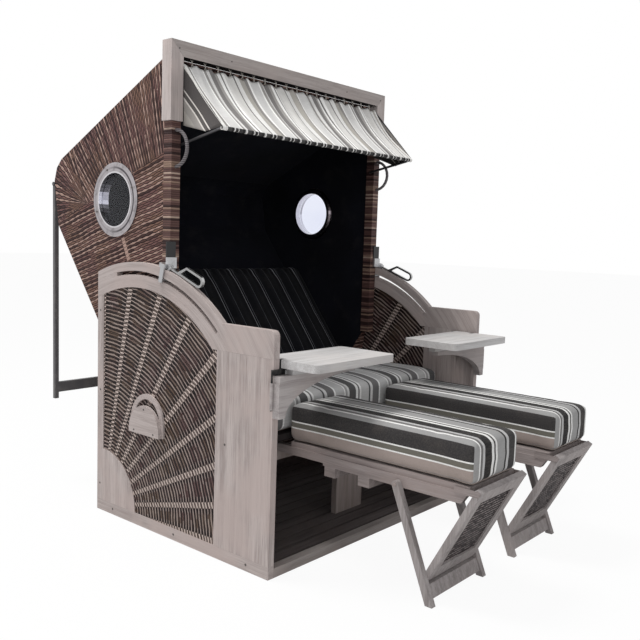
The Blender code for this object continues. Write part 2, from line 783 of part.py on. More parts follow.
def hood(holder):
    outline = hood_side_outline()
    bolt_hole = arc((PIVOT_Y, PIVOT_Z), BOLT_RADIUS + BOLT_PLAY, 0, 337.5, 15)
    front = hood_section()[0][0]
    for word, side in SIDES:
        shell = side_plate(f"hood_side_{word}", outline, side, SHELL_HALF + GAP, HOOD_HALF, WICKER,
                           holes=[port_circle(side, PORT_SLEEVE + PORT_PLAY), bolt_hole])
        ride(shell, holder)
        post = mirrored_box(f"hood_post_{word}", side, (HOOD_HALF - HOOD_POST_WIDTH, HOOD_HALF),
                            (HOOD_FRONT, front - GAP), (HOOD_POST_BOTTOM, FRAME_BOTTOM - GAP), WICKER)
        grab = ready(grab_ring(word, side))
        step = post.modifiers.new("join_ring", "BOOLEAN")
        step.operation = "UNION"
        step.object = grab
        grab.hide_render = True
        stud_face = HOOD_HALF - HOOD_POST_WIDTH
        cut(post, rod_mesh(f"stud_bore_{word}", (side * (stud_face - BITE), BOW_POST_Y, BOW_Z),
                           (side * (stud_face + BOW_STUD_LENGTH + BITE), BOW_POST_Y, BOW_Z),
                           BOW_STUD + BOLT_PLAY, 12))
        ride(post, holder)
        member = frame_member(word, side)
        ride(member, holder)
        ride(porthole_ring(word, side), holder)
        ride(porthole_glass(word, side), holder)
        ride(latch_bracket(word, side), holder)
    ride(top_rail(), holder)
    ride(hood_shell(), holder)
    ride(hood_liner(), holder)


def hood_shell():
    """Roof and back, one bent skin between the two sides."""
    outline = hood_section() + inside_line(HOOD_SKIN)[::-1]
    return side_plate_across("hood_back_shell", outline, SHELL_HALF, WICKER)


def side_plate_across(name, outline, half_width, look):
    return keep(flat_curve(name, [outline], 2 * half_width, PLANE_YZ, 0), look)


def hood_liner():
    """Dark cloth over the inside of the hood: roof and back, and both sides."""
    section = hood_section()
    near = inside_line(HOOD_SKIN + GAP)
    far = inside_line(HOOD_SKIN + GAP + LINING)
    half = SHELL_HALF - LINING + BITE
    pieces = [flat_curve("liner_back", [near + far[::-1]], 2 * half, PLANE_YZ, 0)]
    front = section[0][0]
    side_line = near + [(front, HOOD_POST_BOTTOM)]
    for word, side in SIDES:
        level = side * (SHELL_HALF - LINING / 2)
        pieces.append(flat_curve(f"liner_{word}", [side_line, port_circle(side, PORT_INNER + PORT_PLAY)], LINING,
                                 PLANE_YZ, level))
    return fuse("hood_liner", pieces, NAVY)


def frame_member(word, side):
    """Upright of the frame round the hood's mouth, mitred at its top."""
    far = FRAME_WIDTH / 2
    near = far - FRAME_BAR
    outline = [(side * near, FRAME_BOTTOM), (side * far, FRAME_BOTTOM),
               (side * far, FRAME_TOP - GAP), (side * near, FRAME_TOP - FRAME_BAR - GAP)]
    level = FRAME_FRONT + FRAME_DEPTH / 2
    return keep(flat_curve(f"frame_member_{word}", [outline], FRAME_DEPTH, PLANE_XZ, level), WOOD)


def top_rail():
    far = FRAME_WIDTH / 2 - GAP
    near = far - FRAME_BAR
    low = FRAME_TOP - FRAME_BAR
    outline = [(-far, FRAME_TOP), (-near, low), (near, low), (far, FRAME_TOP)]
    level = FRAME_FRONT + FRAME_DEPTH / 2
    return keep(flat_curve("frame_top_rail", [outline], FRAME_DEPTH, PLANE_XZ, level), WOOD)


def porthole_ring(word, side):
    """A turned ring with a flange on each face of the hood's side and a sleeve through it."""
    depth_in = SHELL_HALF - LINING
    outer_face = HOOD_HALF + GAP
    inner_face = SHELL_HALF
    profile = [
        (PORT_CLEAR, outer_face + PORT_FLANGE),
        (PORT_OUTER - PORT_FLANGE, outer_face + PORT_FLANGE),
        (PORT_OUTER, outer_face + PORT_FLANGE / 2),
        (PORT_OUTER, outer_face),
        (PORT_SLEEVE, outer_face),
        (PORT_SLEEVE, inner_face),
        (PORT_INNER, inner_face),
        (PORT_INNER, depth_in),
        (PORT_RIM, depth_in),
        (PORT_RIM, depth_in - PORT_COLLAR),
        (PORT_CLEAR, depth_in - PORT_COLLAR),
    ]
    return turned(f"porthole_ring_{word}", profile, side, STEEL)


def turned(name, profile, side, look):
    """A ring turned about the X axis through the porthole's centre."""
    mesh = bpy.data.meshes.new(name)
    work = bmesh.new()
    points = [work.verts.new((radius, 0, level)) for radius, level in profile]
    for index, point in enumerate(points):
        work.edges.new((point, points[(index + 1) % len(points)]))
    work.to_mesh(mesh)
    work.free()
    piece = bpy.data.objects.new(name, mesh)
    screw = piece.modifiers.new("turn", "SCREW")
    screw.axis = "Z"
    screw.steps = PORT_STEPS
    screw.render_steps = PORT_STEPS
    screw.use_merge_vertices = True
    screw.merge_threshold = GAP / 10
    screw.use_smooth_shade = True
    piece.location = (0, PORT_Y[side], PORT_Z)
    piece.rotation_euler = (0, side * math.radians(90), 0)
    return keep(piece, look)


def porthole_glass(word, side):
    level = HOOD_HALF - HOOD_SIDE / 2
    start = (side * (level - GLASS_THICKNESS / 2), PORT_Y[side], PORT_Z)
    end = (side * (level + GLASS_THICKNESS / 2), PORT_Y[side], PORT_Z)
    return keep(rod_mesh(f"porthole_glass_{word}", start, end, PORT_CLEAR - PORT_PLAY, PORT_STEPS), GLASS)


def grab_ring(word, side):
    """A half loop on the front of a post."""
    middle = (RING_TOP + RING_BOTTOM) / 2
    half = (RING_TOP - RING_BOTTOM) / 2
    line = []
    for step in range(13):
        turn = math.radians(90 + 180 * step / 12)
        line.append((side * RING_X, HOOD_FRONT + RING_TUBE / 2 + RING_REACH * math.cos(turn),
                     middle + half * math.sin(turn)))
    return tube(f"ring_{word}", line, RING_TUBE)


def latch_bracket(word, side):
    """Steel block over the arched rail, its strap and slot pin, the ears and the plate on the post."""
    low = ARCH_OUTER + LATCH_LIFT
    high = low + LATCH_BLOCK
    near = HOOD_HALF + GAP
    outside = HALF + LATCH_LIFT
    far = outside + STRAP_THICKNESS
    block = (arch_line(low, LATCH_BLOCK_START, LATCH_BLOCK_END)
             + arch_line(high, LATCH_BLOCK_END, LATCH_BLOCK_START))
    block_far = outside + BITE
    pieces = [flat_curve(f"block_{word}", [block], block_far - near, PLANE_YZ, side * (near + block_far) / 2)]
    half_strap = math.degrees(STRAP_WIDTH / 2 / SLOT_RADIUS)
    strap_low = SLOT_RADIUS - STRAP_WIDTH / 2
    strap = (arch_line(strap_low, LATCH_ANGLE - half_strap, LATCH_ANGLE + half_strap)
             + arch_line(high, LATCH_ANGLE + half_strap, LATCH_ANGLE - half_strap))
    pieces.append(flat_curve(f"strap_{word}", [strap], STRAP_THICKNESS, PLANE_YZ, side * (outside + far) / 2))
    pin_y, pin_z = arch_point(SLOT_RADIUS, LATCH_ANGLE)
    pieces.append(rod_mesh(f"slot_pin_{word}", (side * (HOOD_HALF + LATCH_LIFT), pin_y, pin_z),
                           (side * (outside + BITE), pin_y, pin_z), SLOT_PIN, 12))
    middle = (near + outside) / 2
    reach = LEVER_THICKNESS / 2 + EAR_THICKNESS / 2 + GAP
    for word_ear, level in (("in", middle - reach), ("out", middle + reach)):
        pieces.append(flat_curve(f"ear_{word}_{word_ear}", [ear_outline()], EAR_THICKNESS, PLANE_YZ, side * level))
    pieces.append(rod_mesh(f"lever_pin_{word}", (side * (middle - reach), LEVER_PIN_Y, LEVER_PIN_Z),
                           (side * (middle + reach), LEVER_PIN_Y, LEVER_PIN_Z), LEVER_PIN, 12))
    x_low, x_high = sorted((side * LATCH_PLATE_INNER, side * LATCH_PLATE_OUTER))
    back = HOOD_FRONT - GAP
    pieces.append(box_mesh(f"plate_{word}", (x_low, back - LATCH_PLATE, LATCH_PLATE_BOTTOM),
                           (x_high, back, LATCH_PLATE_BOTTOM + LATCH_PLATE_HEIGHT)))
    pieces.append(box_mesh(f"cap_{word}", (x_low, back - LATCH_CAP, LATCH_PLATE_BOTTOM),
                           (x_high, back, LATCH_PLATE_BOTTOM + LATCH_CAP_HEIGHT)))
    return fuse(f"latch_bracket_{word}", pieces, STEEL)


def ear_outline():
    """A cheek that runs from inside the block forward to the lever's pin."""
    inside = (LATCH_BLOCK_START + LATCH_BLOCK_END) / 2
    low = ARCH_OUTER + LATCH_LIFT + BITE
    high = low + LATCH_BLOCK - 2 * BITE
    nose = arc((LEVER_PIN_Y, LEVER_PIN_Z), LEVER_EYE, 110, 290, 8)
    return [arch_point(high, inside), *nose, arch_point(low, inside)]


def lever(word, side, holder):
    """Clamping lever: an eye on the pin, a bar along the arch and an open handle."""
    near = HOOD_HALF + GAP
    outside = HALF + LATCH_LIFT
    level = side * (near + outside) / 2
    centre = Vector((LEVER_PIN_Y, LEVER_PIN_Z))
    turn = math.radians(180 + LEVER_SLOPE)
    along = Vector((math.cos(turn), math.sin(turn)))
    across = Vector((-along.y, along.x)) * -1

    def spot(forward, rise):
        return tuple(centre + along * forward + across * rise)

    half = LEVER_BAR / 2
    tip = (HANDLE_RISE + half) / 2
    tip_forward = HANDLE_REACH - tip
    peak = HANDLE_START + HANDLE_RISE

    def loop(radius):
        turns = [math.radians(-90 + 180 * step / 8) for step in range(9)]
        middle = tip - half
        return [spot(tip_forward + radius * math.cos(turn), middle + radius * math.sin(turn)) for turn in turns]

    outline = [spot(0, -LEVER_EYE), spot(LEVER_EYE * 1.2, -half), *loop(tip)]
    outline += [spot(peak, HANDLE_RISE), spot(HANDLE_START, half), spot(LEVER_EYE, half), spot(0, LEVER_EYE)]
    outline += [spot(-LEVER_EYE * 0.7, LEVER_EYE * 0.7), spot(-LEVER_EYE, 0), spot(-LEVER_EYE * 0.7, -LEVER_EYE * 0.7)]
    window = [*loop(tip - HANDLE_BAR), spot(peak + HANDLE_BAR / 3, HANDLE_RISE - HANDLE_BAR)]
    window += [spot(HANDLE_START + 2 * HANDLE_BAR, HANDLE_BAR - half)]
    eye = arc((LEVER_PIN_Y, LEVER_PIN_Z), LEVER_PIN + BOLT_PLAY, 0, 330, 11)
    piece = flat_curve(f"latch_lever_{word}", [outline, window, eye], LEVER_THICKNESS, PLANE_YZ, level)
    return ride(keep(piece, STEEL), holder)


def awning_bow(holder):
    """Bent rod across the front of the awning, carried on a stud in each post."""
    post_face = HOOD_HALF - HOOD_POST_WIDTH
    arm_x = post_face - BOW_SIDE_CLEARANCE - BOW_TUBE
    bend = BOW_TUBE * 4
    rear = Vector((0, BOW_POST_Y, BOW_Z))
    front = Vector((0, BOW_FRONT_Y, BOW_FRONT_Z))
    slope = (front - rear).normalized()
    start = Vector((-arm_x, *rear.yz))
    end = Vector((arm_x, *rear.yz))
    corners = []
    for side in (-1, 1):
        corner = []
        for step in range(5):
            turn = math.radians(90 * step / 4)
            inward = bend * (1 - math.cos(turn))
            back = bend * (1 - math.sin(turn))
            corner.append(Vector((side * (arm_x - inward), *(front - slope * back).yz)))
        corners.append(corner)
    line = [start, *corners[0], *reversed(corners[1]), end]
    pieces = [tube("bow_rod", [tuple(place) for place in line], BOW_TUBE)]
    for word, side in SIDES:
        near = (side * (arm_x - BITE), BOW_POST_Y, BOW_Z)
        far = (side * (post_face + BOW_STUD_LENGTH), BOW_POST_Y, BOW_Z)
        pieces.append(rod_mesh(f"stud_{word}", near, far, BOW_STUD, 12))
    return ride(fuse("awning_bow", pieces, STEEL), holder)


def awning(holder):
    """Cloth from the top rail over the bow, with its folds, and a gusset at each end."""
    columns = AWNING_FOLDS * 4
    rows = 8
    hem_share = 1 / rows
    work = bmesh.new()
    bmesh.ops.create_grid(work, x_segments=columns, y_segments=rows, size=0.5)
    top = Vector((0, AWNING_TOP_Y, AWNING_TOP_Z))
    clear = BOW_TUBE + AWNING_THICKNESS / 2 + 2 * GAP
    front = Vector((0, BOW_FRONT_Y - clear, BOW_FRONT_Z + BOW_TUBE * 0.6))
    run = front - top
    outward = Vector((0, run.z, -run.y)).normalized()
    for vertex in work.verts:
        across = vertex.co.x * 2
        down = 0.5 - vertex.co.y
        fold = math.cos(across * math.pi * AWNING_FOLDS) * AWNING_FOLD
        reach = min(down / (1 - hem_share), 1.0)
        sag = AWNING_SAG * math.sin(math.pi * reach)
        place = top + run * reach + outward * (fold * (1 - reach) - sag)
        hem = max(down - 1 + hem_share, 0) / hem_share
        place += Vector((0, -AWNING_FOLD * hem, -AWNING_HEM * hem))
        place.x = across * AWNING_HALF_WIDTH
        vertex.co = place
    mesh = bpy.data.meshes.new("awning_cloth")
    bmesh.ops.recalc_face_normals(work, faces=work.faces)
    work.to_mesh(mesh)
    work.free()
    mesh.shade_smooth()
    sheet = bpy.data.objects.new("awning_cloth", mesh)
    wall = sheet.modifiers.new("wall", "SOLIDIFY")
    wall.thickness = AWNING_THICKNESS
    wall.offset = 0
    pieces = [sheet]
    for word, side in SIDES:
        pieces.append(awning_gusset(word, side, top + run * GUSSET_REACH))
    return ride(fuse("awning_cloth", pieces, CREAM), holder)


def awning_gusset(word, side, tip):
    """Cloth that closes one end of the awning and hangs down to the bow's arm."""
    level = AWNING_HALF_WIDTH - AWNING_THICKNESS / 2
    rear = AWNING_TOP_Y
    low_y = BOW_POST_Y + (BOW_FRONT_Y - BOW_POST_Y) * GUSSET_LOW_SHARE
    low_z = BOW_Z + (BOW_FRONT_Z - BOW_Z) * GUSSET_LOW_SHARE + BOW_TUBE + AWNING_THICKNESS
    outline = [(rear, AWNING_TOP_Z), (tip.y, tip.z), (low_y, low_z), (rear, AWNING_REAR_Z)]
    return flat_curve(f"gusset_{word}", [outline], AWNING_THICKNESS, PLANE_YZ, side * level)


def stand(holder):
    """Two straps and a cross bar that hang from pins behind the hood."""
    half = STAND_BAR / 2
    wide = STAND_X - half + BITE
    pieces = [box_mesh("cross", (-wide, STAND_Y - half, STAND_CROSS_TOP - STAND_CROSS_HEIGHT),
                       (wide, STAND_Y + half, STAND_CROSS_TOP))]
    for word, side in SIDES:
        outline = arc((STAND_Y, STAND_TOP), half, 0, 180, 6)
        outline += [(STAND_Y - half, STAND_BOTTOM), (STAND_Y + half, STAND_BOTTOM)]
        hole = arc((STAND_Y, STAND_TOP), STAND_PIN + BOLT_PLAY, 0, 330, 11)
        pieces.append(flat_curve(f"strut_{word}", [outline, hole], STAND_BAR, PLANE_YZ, side * STAND_X))
    return ride(fuse("rear_stand", pieces, GREY_PAINT), holder)


def stand_hinge(holder):
    """Bar across the hood's back whose ears carry the stand on pins."""
    half = STAND_BAR / 2
    section = hood_section()
    crown = Vector(section[3])
    near = crown.x + GAP
    top = STAND_TOP + HINGE_BAR_HEIGHT / 2
    wide = STAND_X - half - GAP
    pieces = [box_mesh("hinge_bar", (-wide, near, top - HINGE_BAR_HEIGHT), (wide, near + HINGE_BAR_DEPTH, top))]
    for word, side in SIDES:
        level = wide - STAND_EAR / 2
        nose = arc((STAND_Y, STAND_TOP), half, -90, 90, 6)
        outline = [(near + BITE, STAND_TOP - half), *nose, (near + BITE, STAND_TOP + half)]
        pieces.append(flat_curve(f"ear_{word}", [outline], STAND_EAR, PLANE_YZ, side * level))
        outside = STAND_X + half + GAP
        start = (side * level, STAND_Y, STAND_TOP)
        end = (side * (outside + STAND_HEAD), STAND_Y, STAND_TOP)
        pieces.append(rod_mesh(f"pin_{word}", start, end, STAND_PIN, 12))
        pieces.append(rod_mesh(f"pin_head_{word}", (side * outside, STAND_Y, STAND_TOP), end, half, 12))
    return ride(fuse("stand_hinge_bar", pieces, STEEL), holder)


def table(word, side):
    """Side table that folds up on pins near its outer edge."""
    corner = TABLE_CORNER
    notch = TABLE_OUTER - NOTCH_DEPTH
    outline = arc((TABLE_INNER + corner, TABLE_FRONT + corner), corner, 180, 270, 4)
    outline += arc((TABLE_OUTER - corner, TABLE_FRONT + corner), corner, 270, 360, 4)
    outline += [(TABLE_OUTER, NOTCH_FRONT), (notch, NOTCH_FRONT), (notch, NOTCH_BACK),
                (TABLE_OUTER, NOTCH_BACK), (TABLE_OUTER, TABLE_BACK)]
    outline += arc((TABLE_INNER + corner, TABLE_BACK - corner), corner, 90, 180, 4)
    outline = [(side * across, along) for across, along in outline]
    if side < 0:
        outline.reverse()
    board = flat_curve(f"board_{word}", [outline], TABLE_THICKNESS, PLANE_XY, TABLE_AXIS_Z)
    cleat_near, cleat_far = sorted((side * CLEAT_INNER, side * CLEAT_OUTER))
    underside = TABLE_TOP_Z - TABLE_THICKNESS
    cleat = box_mesh(f"cleat_{word}", (cleat_near, -BRACKET_THICKNESS, underside - CLEAT_HEIGHT),
                     (cleat_far, -GAP, underside + BITE))
    top = fuse(f"side_table_{word}", [board, cleat], WOOD)
    reach = TABLE_PIN_LENGTH + BOLT_PLAY
    bores = [(NOTCH_FRONT - reach, NOTCH_FRONT + BITE), (NOTCH_BACK - BITE, NOTCH_BACK + reach),
             (TABLE_BACK - reach, TABLE_BACK + BITE)]
    axis_x = side * TABLE_AXIS
    for index, (start, end) in enumerate(bores):
        cut(top, rod_mesh(f"bore_{word}_{index}", (axis_x, start, TABLE_AXIS_Z), (axis_x, end, TABLE_AXIS_Z),
                          TABLE_PIN + BOLT_PLAY, 12))
    return ride(top, pivot(f"table_pivot_{word}", (axis_x, 0, TABLE_AXIS_Z)))


def table_fitting(word, side):
    """Steel plate on the front board with the table's bearings, and a strap round to the bracket's pin."""
    face = INNER - GAP
    near = face - FITTING_THICKNESS
    front = -GAP - STRAP_DEPTH
    rear_start = TABLE_BACK + GAP
    rear_end = rear_start + BEARING_DEPTH
    x_plate = sorted((side * near, side * face))
    pieces = [box_mesh(f"plate_{word}", (x_plate[0], 0, FITTING_BOTTOM), (x_plate[1], rear_end, FITTING_TOP)),
              box_mesh(f"link_{word}", (x_plate[0], front, STRAP_BOTTOM), (x_plate[1], STRAP_DEPTH, FITTING_TOP))]
    front_start = NOTCH_FRONT + BEARING_PLAY
    front_end = NOTCH_BACK - BEARING_PLAY
    bearing = [(side * across, up) for across, up in arc((TABLE_AXIS, TABLE_AXIS_Z), BEARING_RADIUS, 0, 180, 8)]
    bearing += [(side * (TABLE_AXIS - BEARING_RADIUS), FITTING_BOTTOM),
                (side * (near + BITE), FITTING_BOTTOM), (side * (near + BITE), FITTING_TOP - BITE),
                (side * (TABLE_AXIS + BEARING_RADIUS), FITTING_TOP - BITE)]
    for index, (start, end) in enumerate(((front_start, front_end), (rear_start, rear_end))):
        pieces.append(flat_curve(f"bearing_{word}_{index}", [bearing], end - start, PLANE_XZ, (start + end) / 2))
    ends = [(front_start + BITE, front_start + BITE - TABLE_PIN_LENGTH),
            (front_end - BITE, front_end - BITE + TABLE_PIN_LENGTH),
            (rear_start + BITE, rear_start + BITE - TABLE_PIN_LENGTH)]
    for index, (start, end) in enumerate(ends):
        pieces.append(rod_mesh(f"table_pin_{word}_{index}", (side * TABLE_AXIS, start, TABLE_AXIS_Z),
                               (side * TABLE_AXIS, end, TABLE_AXIS_Z), TABLE_PIN, 12))
    x_strap = sorted((side * near, side * (HINGE_X + HINGE_PIN)))
    pieces.append(box_mesh(f"strap_{word}", (x_strap[0], front, STRAP_BOTTOM), (x_strap[1], -GAP, STRAP_TOP)))
    pieces.append(rod_mesh(f"bracket_pin_{word}", (side * HINGE_X, 0, HINGE_BOTTOM - STRAP_DEPTH),
                           (side * HINGE_X, 0, STRAP_TOP), HINGE_PIN, 12))
    return fuse(f"table_fitting_{word}", pieces, DARK_STEEL)


def bracket(word, side):
    """Gusset under a table, which swings on a pin at the front board's outer edge."""
    reach = HALF - BRACKET_HEEL - BRACKET_INNER
    rise = BRACKET_TOP - BRACKET_NOSE - BRACKET_BOTTOM
    outline = [(HALF, BRACKET_TOP), (HALF, BRACKET_BOTTOM)]
    for step in range(11):
        turn = math.radians(90 * step / 10)
        outline.append((BRACKET_INNER + reach * math.cos(turn), BRACKET_BOTTOM + rise * math.sin(turn)))
    outline.append((BRACKET_INNER, BRACKET_TOP))
    outline = [(side * across, up) for across, up in outline]
    back = -2 * GAP
    board = flat_curve(f"gusset_board_{word}", [outline], BRACKET_THICKNESS + back, PLANE_XZ,
                       (back - BRACKET_THICKNESS) / 2)
    leaf = sorted((side * (HALF - BITE), side * (HALF + HINGE_LEAF)))
    plate = box_mesh(f"leaf_{word}", (leaf[0], -BRACKET_THICKNESS + GAP, HINGE_BOTTOM), (leaf[1], back, HINGE_TOP))
    knuckle = rod_mesh(f"knuckle_{word}", (side * HINGE_X, 0, HINGE_BOTTOM), (side * HINGE_X, 0, HINGE_TOP),
                       HINGE_KNUCKLE, 16)
    piece = fuse(f"table_bracket_{word}", [board, plate, knuckle], WOOD)
    cut(piece, rod_mesh(f"knuckle_bore_{word}", (side * HINGE_X, 0, HINGE_BOTTOM - BITE),
                        (side * HINGE_X, 0, HINGE_TOP + BITE), HINGE_PIN + BOLT_PLAY, 12))
    return ride(piece, pivot(f"bracket_pivot_{word}", (side * HINGE_X, 0, (HINGE_BOTTOM + HINGE_TOP) / 2)))


def tray(word, side, holder):
    """Rails, deck and battens of one footrest, with the pins that carry its legs and panel."""
    pieces = []
    rail = [(TRAY_FRONT_BOTTOM, TRAY_RAIL_BOTTOM), (TRAY_STEP_Y, TRAY_RAIL_BOTTOM), (TRAY_STEP_Y, TRAY_STEP_Z),
            (TRAY_REAR, TRAY_STEP_Z), (TRAY_REAR, TRAY_RAIL_TOP), (TRAY_FRONT_TOP, TRAY_RAIL_TOP)]
    x_deck = sorted((side * (TRAY_INNER + DECK_INSET), side * (TRAY_OUTER - DECK_INSET)))
    pieces.append(box_mesh(f"deck_{word}", (x_deck[0], TRAY_FRONT_TOP, TRAY_RAIL_TOP - BITE),
                           (x_deck[1], DECK_REAR, DECK_TOP)))
    for index, near in enumerate((TRAY_INNER, TRAY_OUTER - TRAY_RAIL)):
        pieces.append(flat_curve(f"rail_{word}_{index}", [rail], TRAY_RAIL, PLANE_YZ,
                                 side * (near + TRAY_RAIL / 2)))
    x_batten = sorted((side * TRAY_INNER, side * TRAY_OUTER))
    for index, place in enumerate((BATTEN_REAR_Y, BATTEN_FRONT_Y)):
        pieces.append(box_mesh(f"batten_{word}_{index}",
                               (x_batten[0], place, TRAY_RAIL_BOTTOM - BATTEN_HEIGHT),
                               (x_batten[1], place + BATTEN_WIDTH, TRAY_RAIL_BOTTOM + BITE)))
    tail = PANEL_HINGE_Y + CHEEK_REACH
    eye = CHEEK_HEIGHT / 2
    cheek = arc((PANEL_HINGE_Y, PANEL_HINGE_Z), eye, 90, 270, 8)
    cheek += [(tail, PANEL_HINGE_Z - eye), (tail, PANEL_HINGE_Z + eye)]
    for place, face, way in (("out", TRAY_OUTER, 1), ("in", TRAY_INNER, -1)):
        near = face - way * BITE
        far = face + way * (GAP + CHEEK_THICKNESS)
        nearest = face + way * GAP
        nose = flat_curve(f"cheek_{word}_{place}", [cheek], CHEEK_THICKNESS, PLANE_YZ, side * (nearest + far) / 2)
        root = sorted((side * near, side * far))
        root_block = box_mesh(f"cheek_root_{word}_{place}", (root[0], TRAY_FRONT_TOP + BITE, PANEL_HINGE_Z - eye),
                              (root[1], tail, TRAY_RAIL_TOP - BITE))
        pin = rod_mesh(f"panel_pin_{word}_{place}", (side * (nearest + far) / 2, PANEL_HINGE_Y, PANEL_HINGE_Z),
                       (side * (face - way * PANEL_PIN_LENGTH), PANEL_HINGE_Y, PANEL_HINGE_Z), PANEL_PIN, 12)
        head = face + way * (2 * GAP + LEG_THICKNESS)
        tip = head + way * LEG_HEAD_THICKNESS
        leg_pin = rod_mesh(f"leg_pin_{word}_{place}", (side * near, LEG_HINGE_Y, LEG_HINGE_Z),
                           (side * tip, LEG_HINGE_Y, LEG_HINGE_Z), LEG_PIN, 12)
        leg_head = rod_mesh(f"leg_pin_head_{word}_{place}", (side * head, LEG_HINGE_Y, LEG_HINGE_Z),
                            (side * tip, LEG_HINGE_Y, LEG_HINGE_Z), LEG_PIN_HEAD, 12)
        pieces += [root_block, nose, pin, leg_pin, leg_head]
    return ride(fuse(f"footrest_tray_{word}", pieces, WOOD), holder)


def panel(word, side, holder):
    """Hinged wicker front of a footrest, which leans back on the leg frame."""
    height = PANEL_ABOVE + PANEL_BELOW
    width = TRAY_OUTER - TRAY_INNER
    top = PANEL_ABOVE
    outline = [(-width / 2, -PANEL_BELOW), (width / 2, -PANEL_BELOW), (width / 2, top), (-width / 2, top)]
    side_in = width / 2 - PANEL_SIDE_BORDER
    low = -PANEL_BELOW + PANEL_BOTTOM_BORDER
    high = top - PANEL_TOP_BORDER
    window = [(-side_in, low), (side_in, low), (side_in, high), (-side_in, high)]
    centre_x = side * (TRAY_OUTER + TRAY_INNER) / 2
    tilt = (math.radians(90 + PANEL_ANGLE), 0, 0)
    frame = flat_curve(f"footrest_panel_{word}", [outline, window], PANEL_THICKNESS, PLANE_XY, 0)
    frame.location = (centre_x, PANEL_HINGE_Y, PANEL_HINGE_Z)
    frame.rotation_euler = tilt
    frame = ready(frame)
    CUTTERS.objects.unlink(frame)
    keep(frame, WOOD)
    bore = PANEL_PIN + BOLT_PLAY
    for index, (face, way) in enumerate(((TRAY_OUTER, -1), (TRAY_INNER, 1))):
        start = (side * (face - way * BITE), PANEL_HINGE_Y, PANEL_HINGE_Z)
        end = (side * (face + way * (PANEL_PIN_LENGTH + BITE)), PANEL_HINGE_Y, PANEL_HINGE_Z)
        cut(frame, rod_mesh(f"panel_bore_{word}_{index}", start, end, bore, 12))
    ride(frame, holder)
    inside = [(across - math.copysign(GAP, across), up) for across, up in window]
    inside = [(across, up + GAP if up == low else up - GAP) for across, up in inside]
    weave = flat_curve(f"footrest_weave_{word}", [inside], PANEL_WEAVE, PLANE_XY, 0)
    weave.location = frame.location
    weave.rotation_euler = tilt
    return ride(keep(weave, WICKER), holder)


def leg_frame(word, side, holder):
    """Two legs and the cross piece near the floor."""
    turn = math.radians(LEG_ANGLE)
    down = Vector((-math.sin(turn), -math.cos(turn)))
    across = Vector((math.cos(turn), -math.sin(turn)))
    hinge = Vector((LEG_HINGE_Y, LEG_HINGE_Z))
    half = LEG_WIDTH / 2

    def at_height(shift, height):
        start = hinge + across * shift
        return tuple(start + down * ((start.y - height) / -down.y))

    angle = math.degrees(math.atan2(across.y, across.x))
    outline = arc(hinge, half, angle, angle + 180, 8) + [at_height(-half, 0), at_height(half, 0)]
    hole = arc(hinge, LEG_PIN + BOLT_PLAY, 0, 330, 11)
    pieces = []
    for index, near in enumerate((TRAY_OUTER + GAP, TRAY_INNER - GAP - LEG_THICKNESS)):
        pieces.append(flat_curve(f"leg_{word}_{index}", [outline, hole], LEG_THICKNESS, PLANE_YZ,
                                 side * (near + LEG_THICKNESS / 2)))
    slim = CROSS_THICKNESS / 2
    cross = [at_height(-slim, CROSS_BOTTOM), at_height(slim, CROSS_BOTTOM),
             at_height(slim, CROSS_TOP), at_height(-slim, CROSS_TOP)]
    pieces.append(flat_curve(f"cross_{word}", [cross], TRAY_OUTER - TRAY_INNER + 2 * BITE, PLANE_YZ,
                             side * (TRAY_OUTER + TRAY_INNER) / 2))
    return ride(fuse(f"footrest_legs_{word}", pieces, WOOD), holder)


def footrest(word, side):
    slide = pivot(f"footrest_slide_{word}", (side * (TRAY_OUTER + TRAY_INNER) / 2, 0, TRAY_RAIL_TOP))
    tray(word, side, slide)
    middle = side * (TRAY_OUTER + TRAY_INNER) / 2
    panel(word, side, pivot(f"panel_pivot_{word}", (middle, PANEL_HINGE_Y, PANEL_HINGE_Z), slide))
    leg_frame(word, side, pivot(f"leg_pivot_{word}", (middle, LEG_HINGE_Y, LEG_HINGE_Z), slide))


def divide(work, axis, cuts):
    """Cuts all the edges that run along one axis into equal stretches."""
    along = []
    for edge in work.edges:
        way = edge.verts[1].co - edge.verts[0].co
        if abs(way[axis]) > abs(way[(axis + 1) % 3]) + abs(way[(axis + 2) % 3]):
            along.append(edge)
    bmesh.ops.subdivide_edges(work, edges=along, cuts=cuts, use_grid_fill=True)


def pad_coordinate(share, half, ring):
    """Moves a share of a cushion's side so that its last step falls on the rounded edge."""
    if abs(share) <= ring:
        return share / ring * (half - CUSHION_ROUND)
    return math.copysign(half - CUSHION_ROUND + CUSHION_ROUND * (abs(share) - ring) / (1 - ring), share)


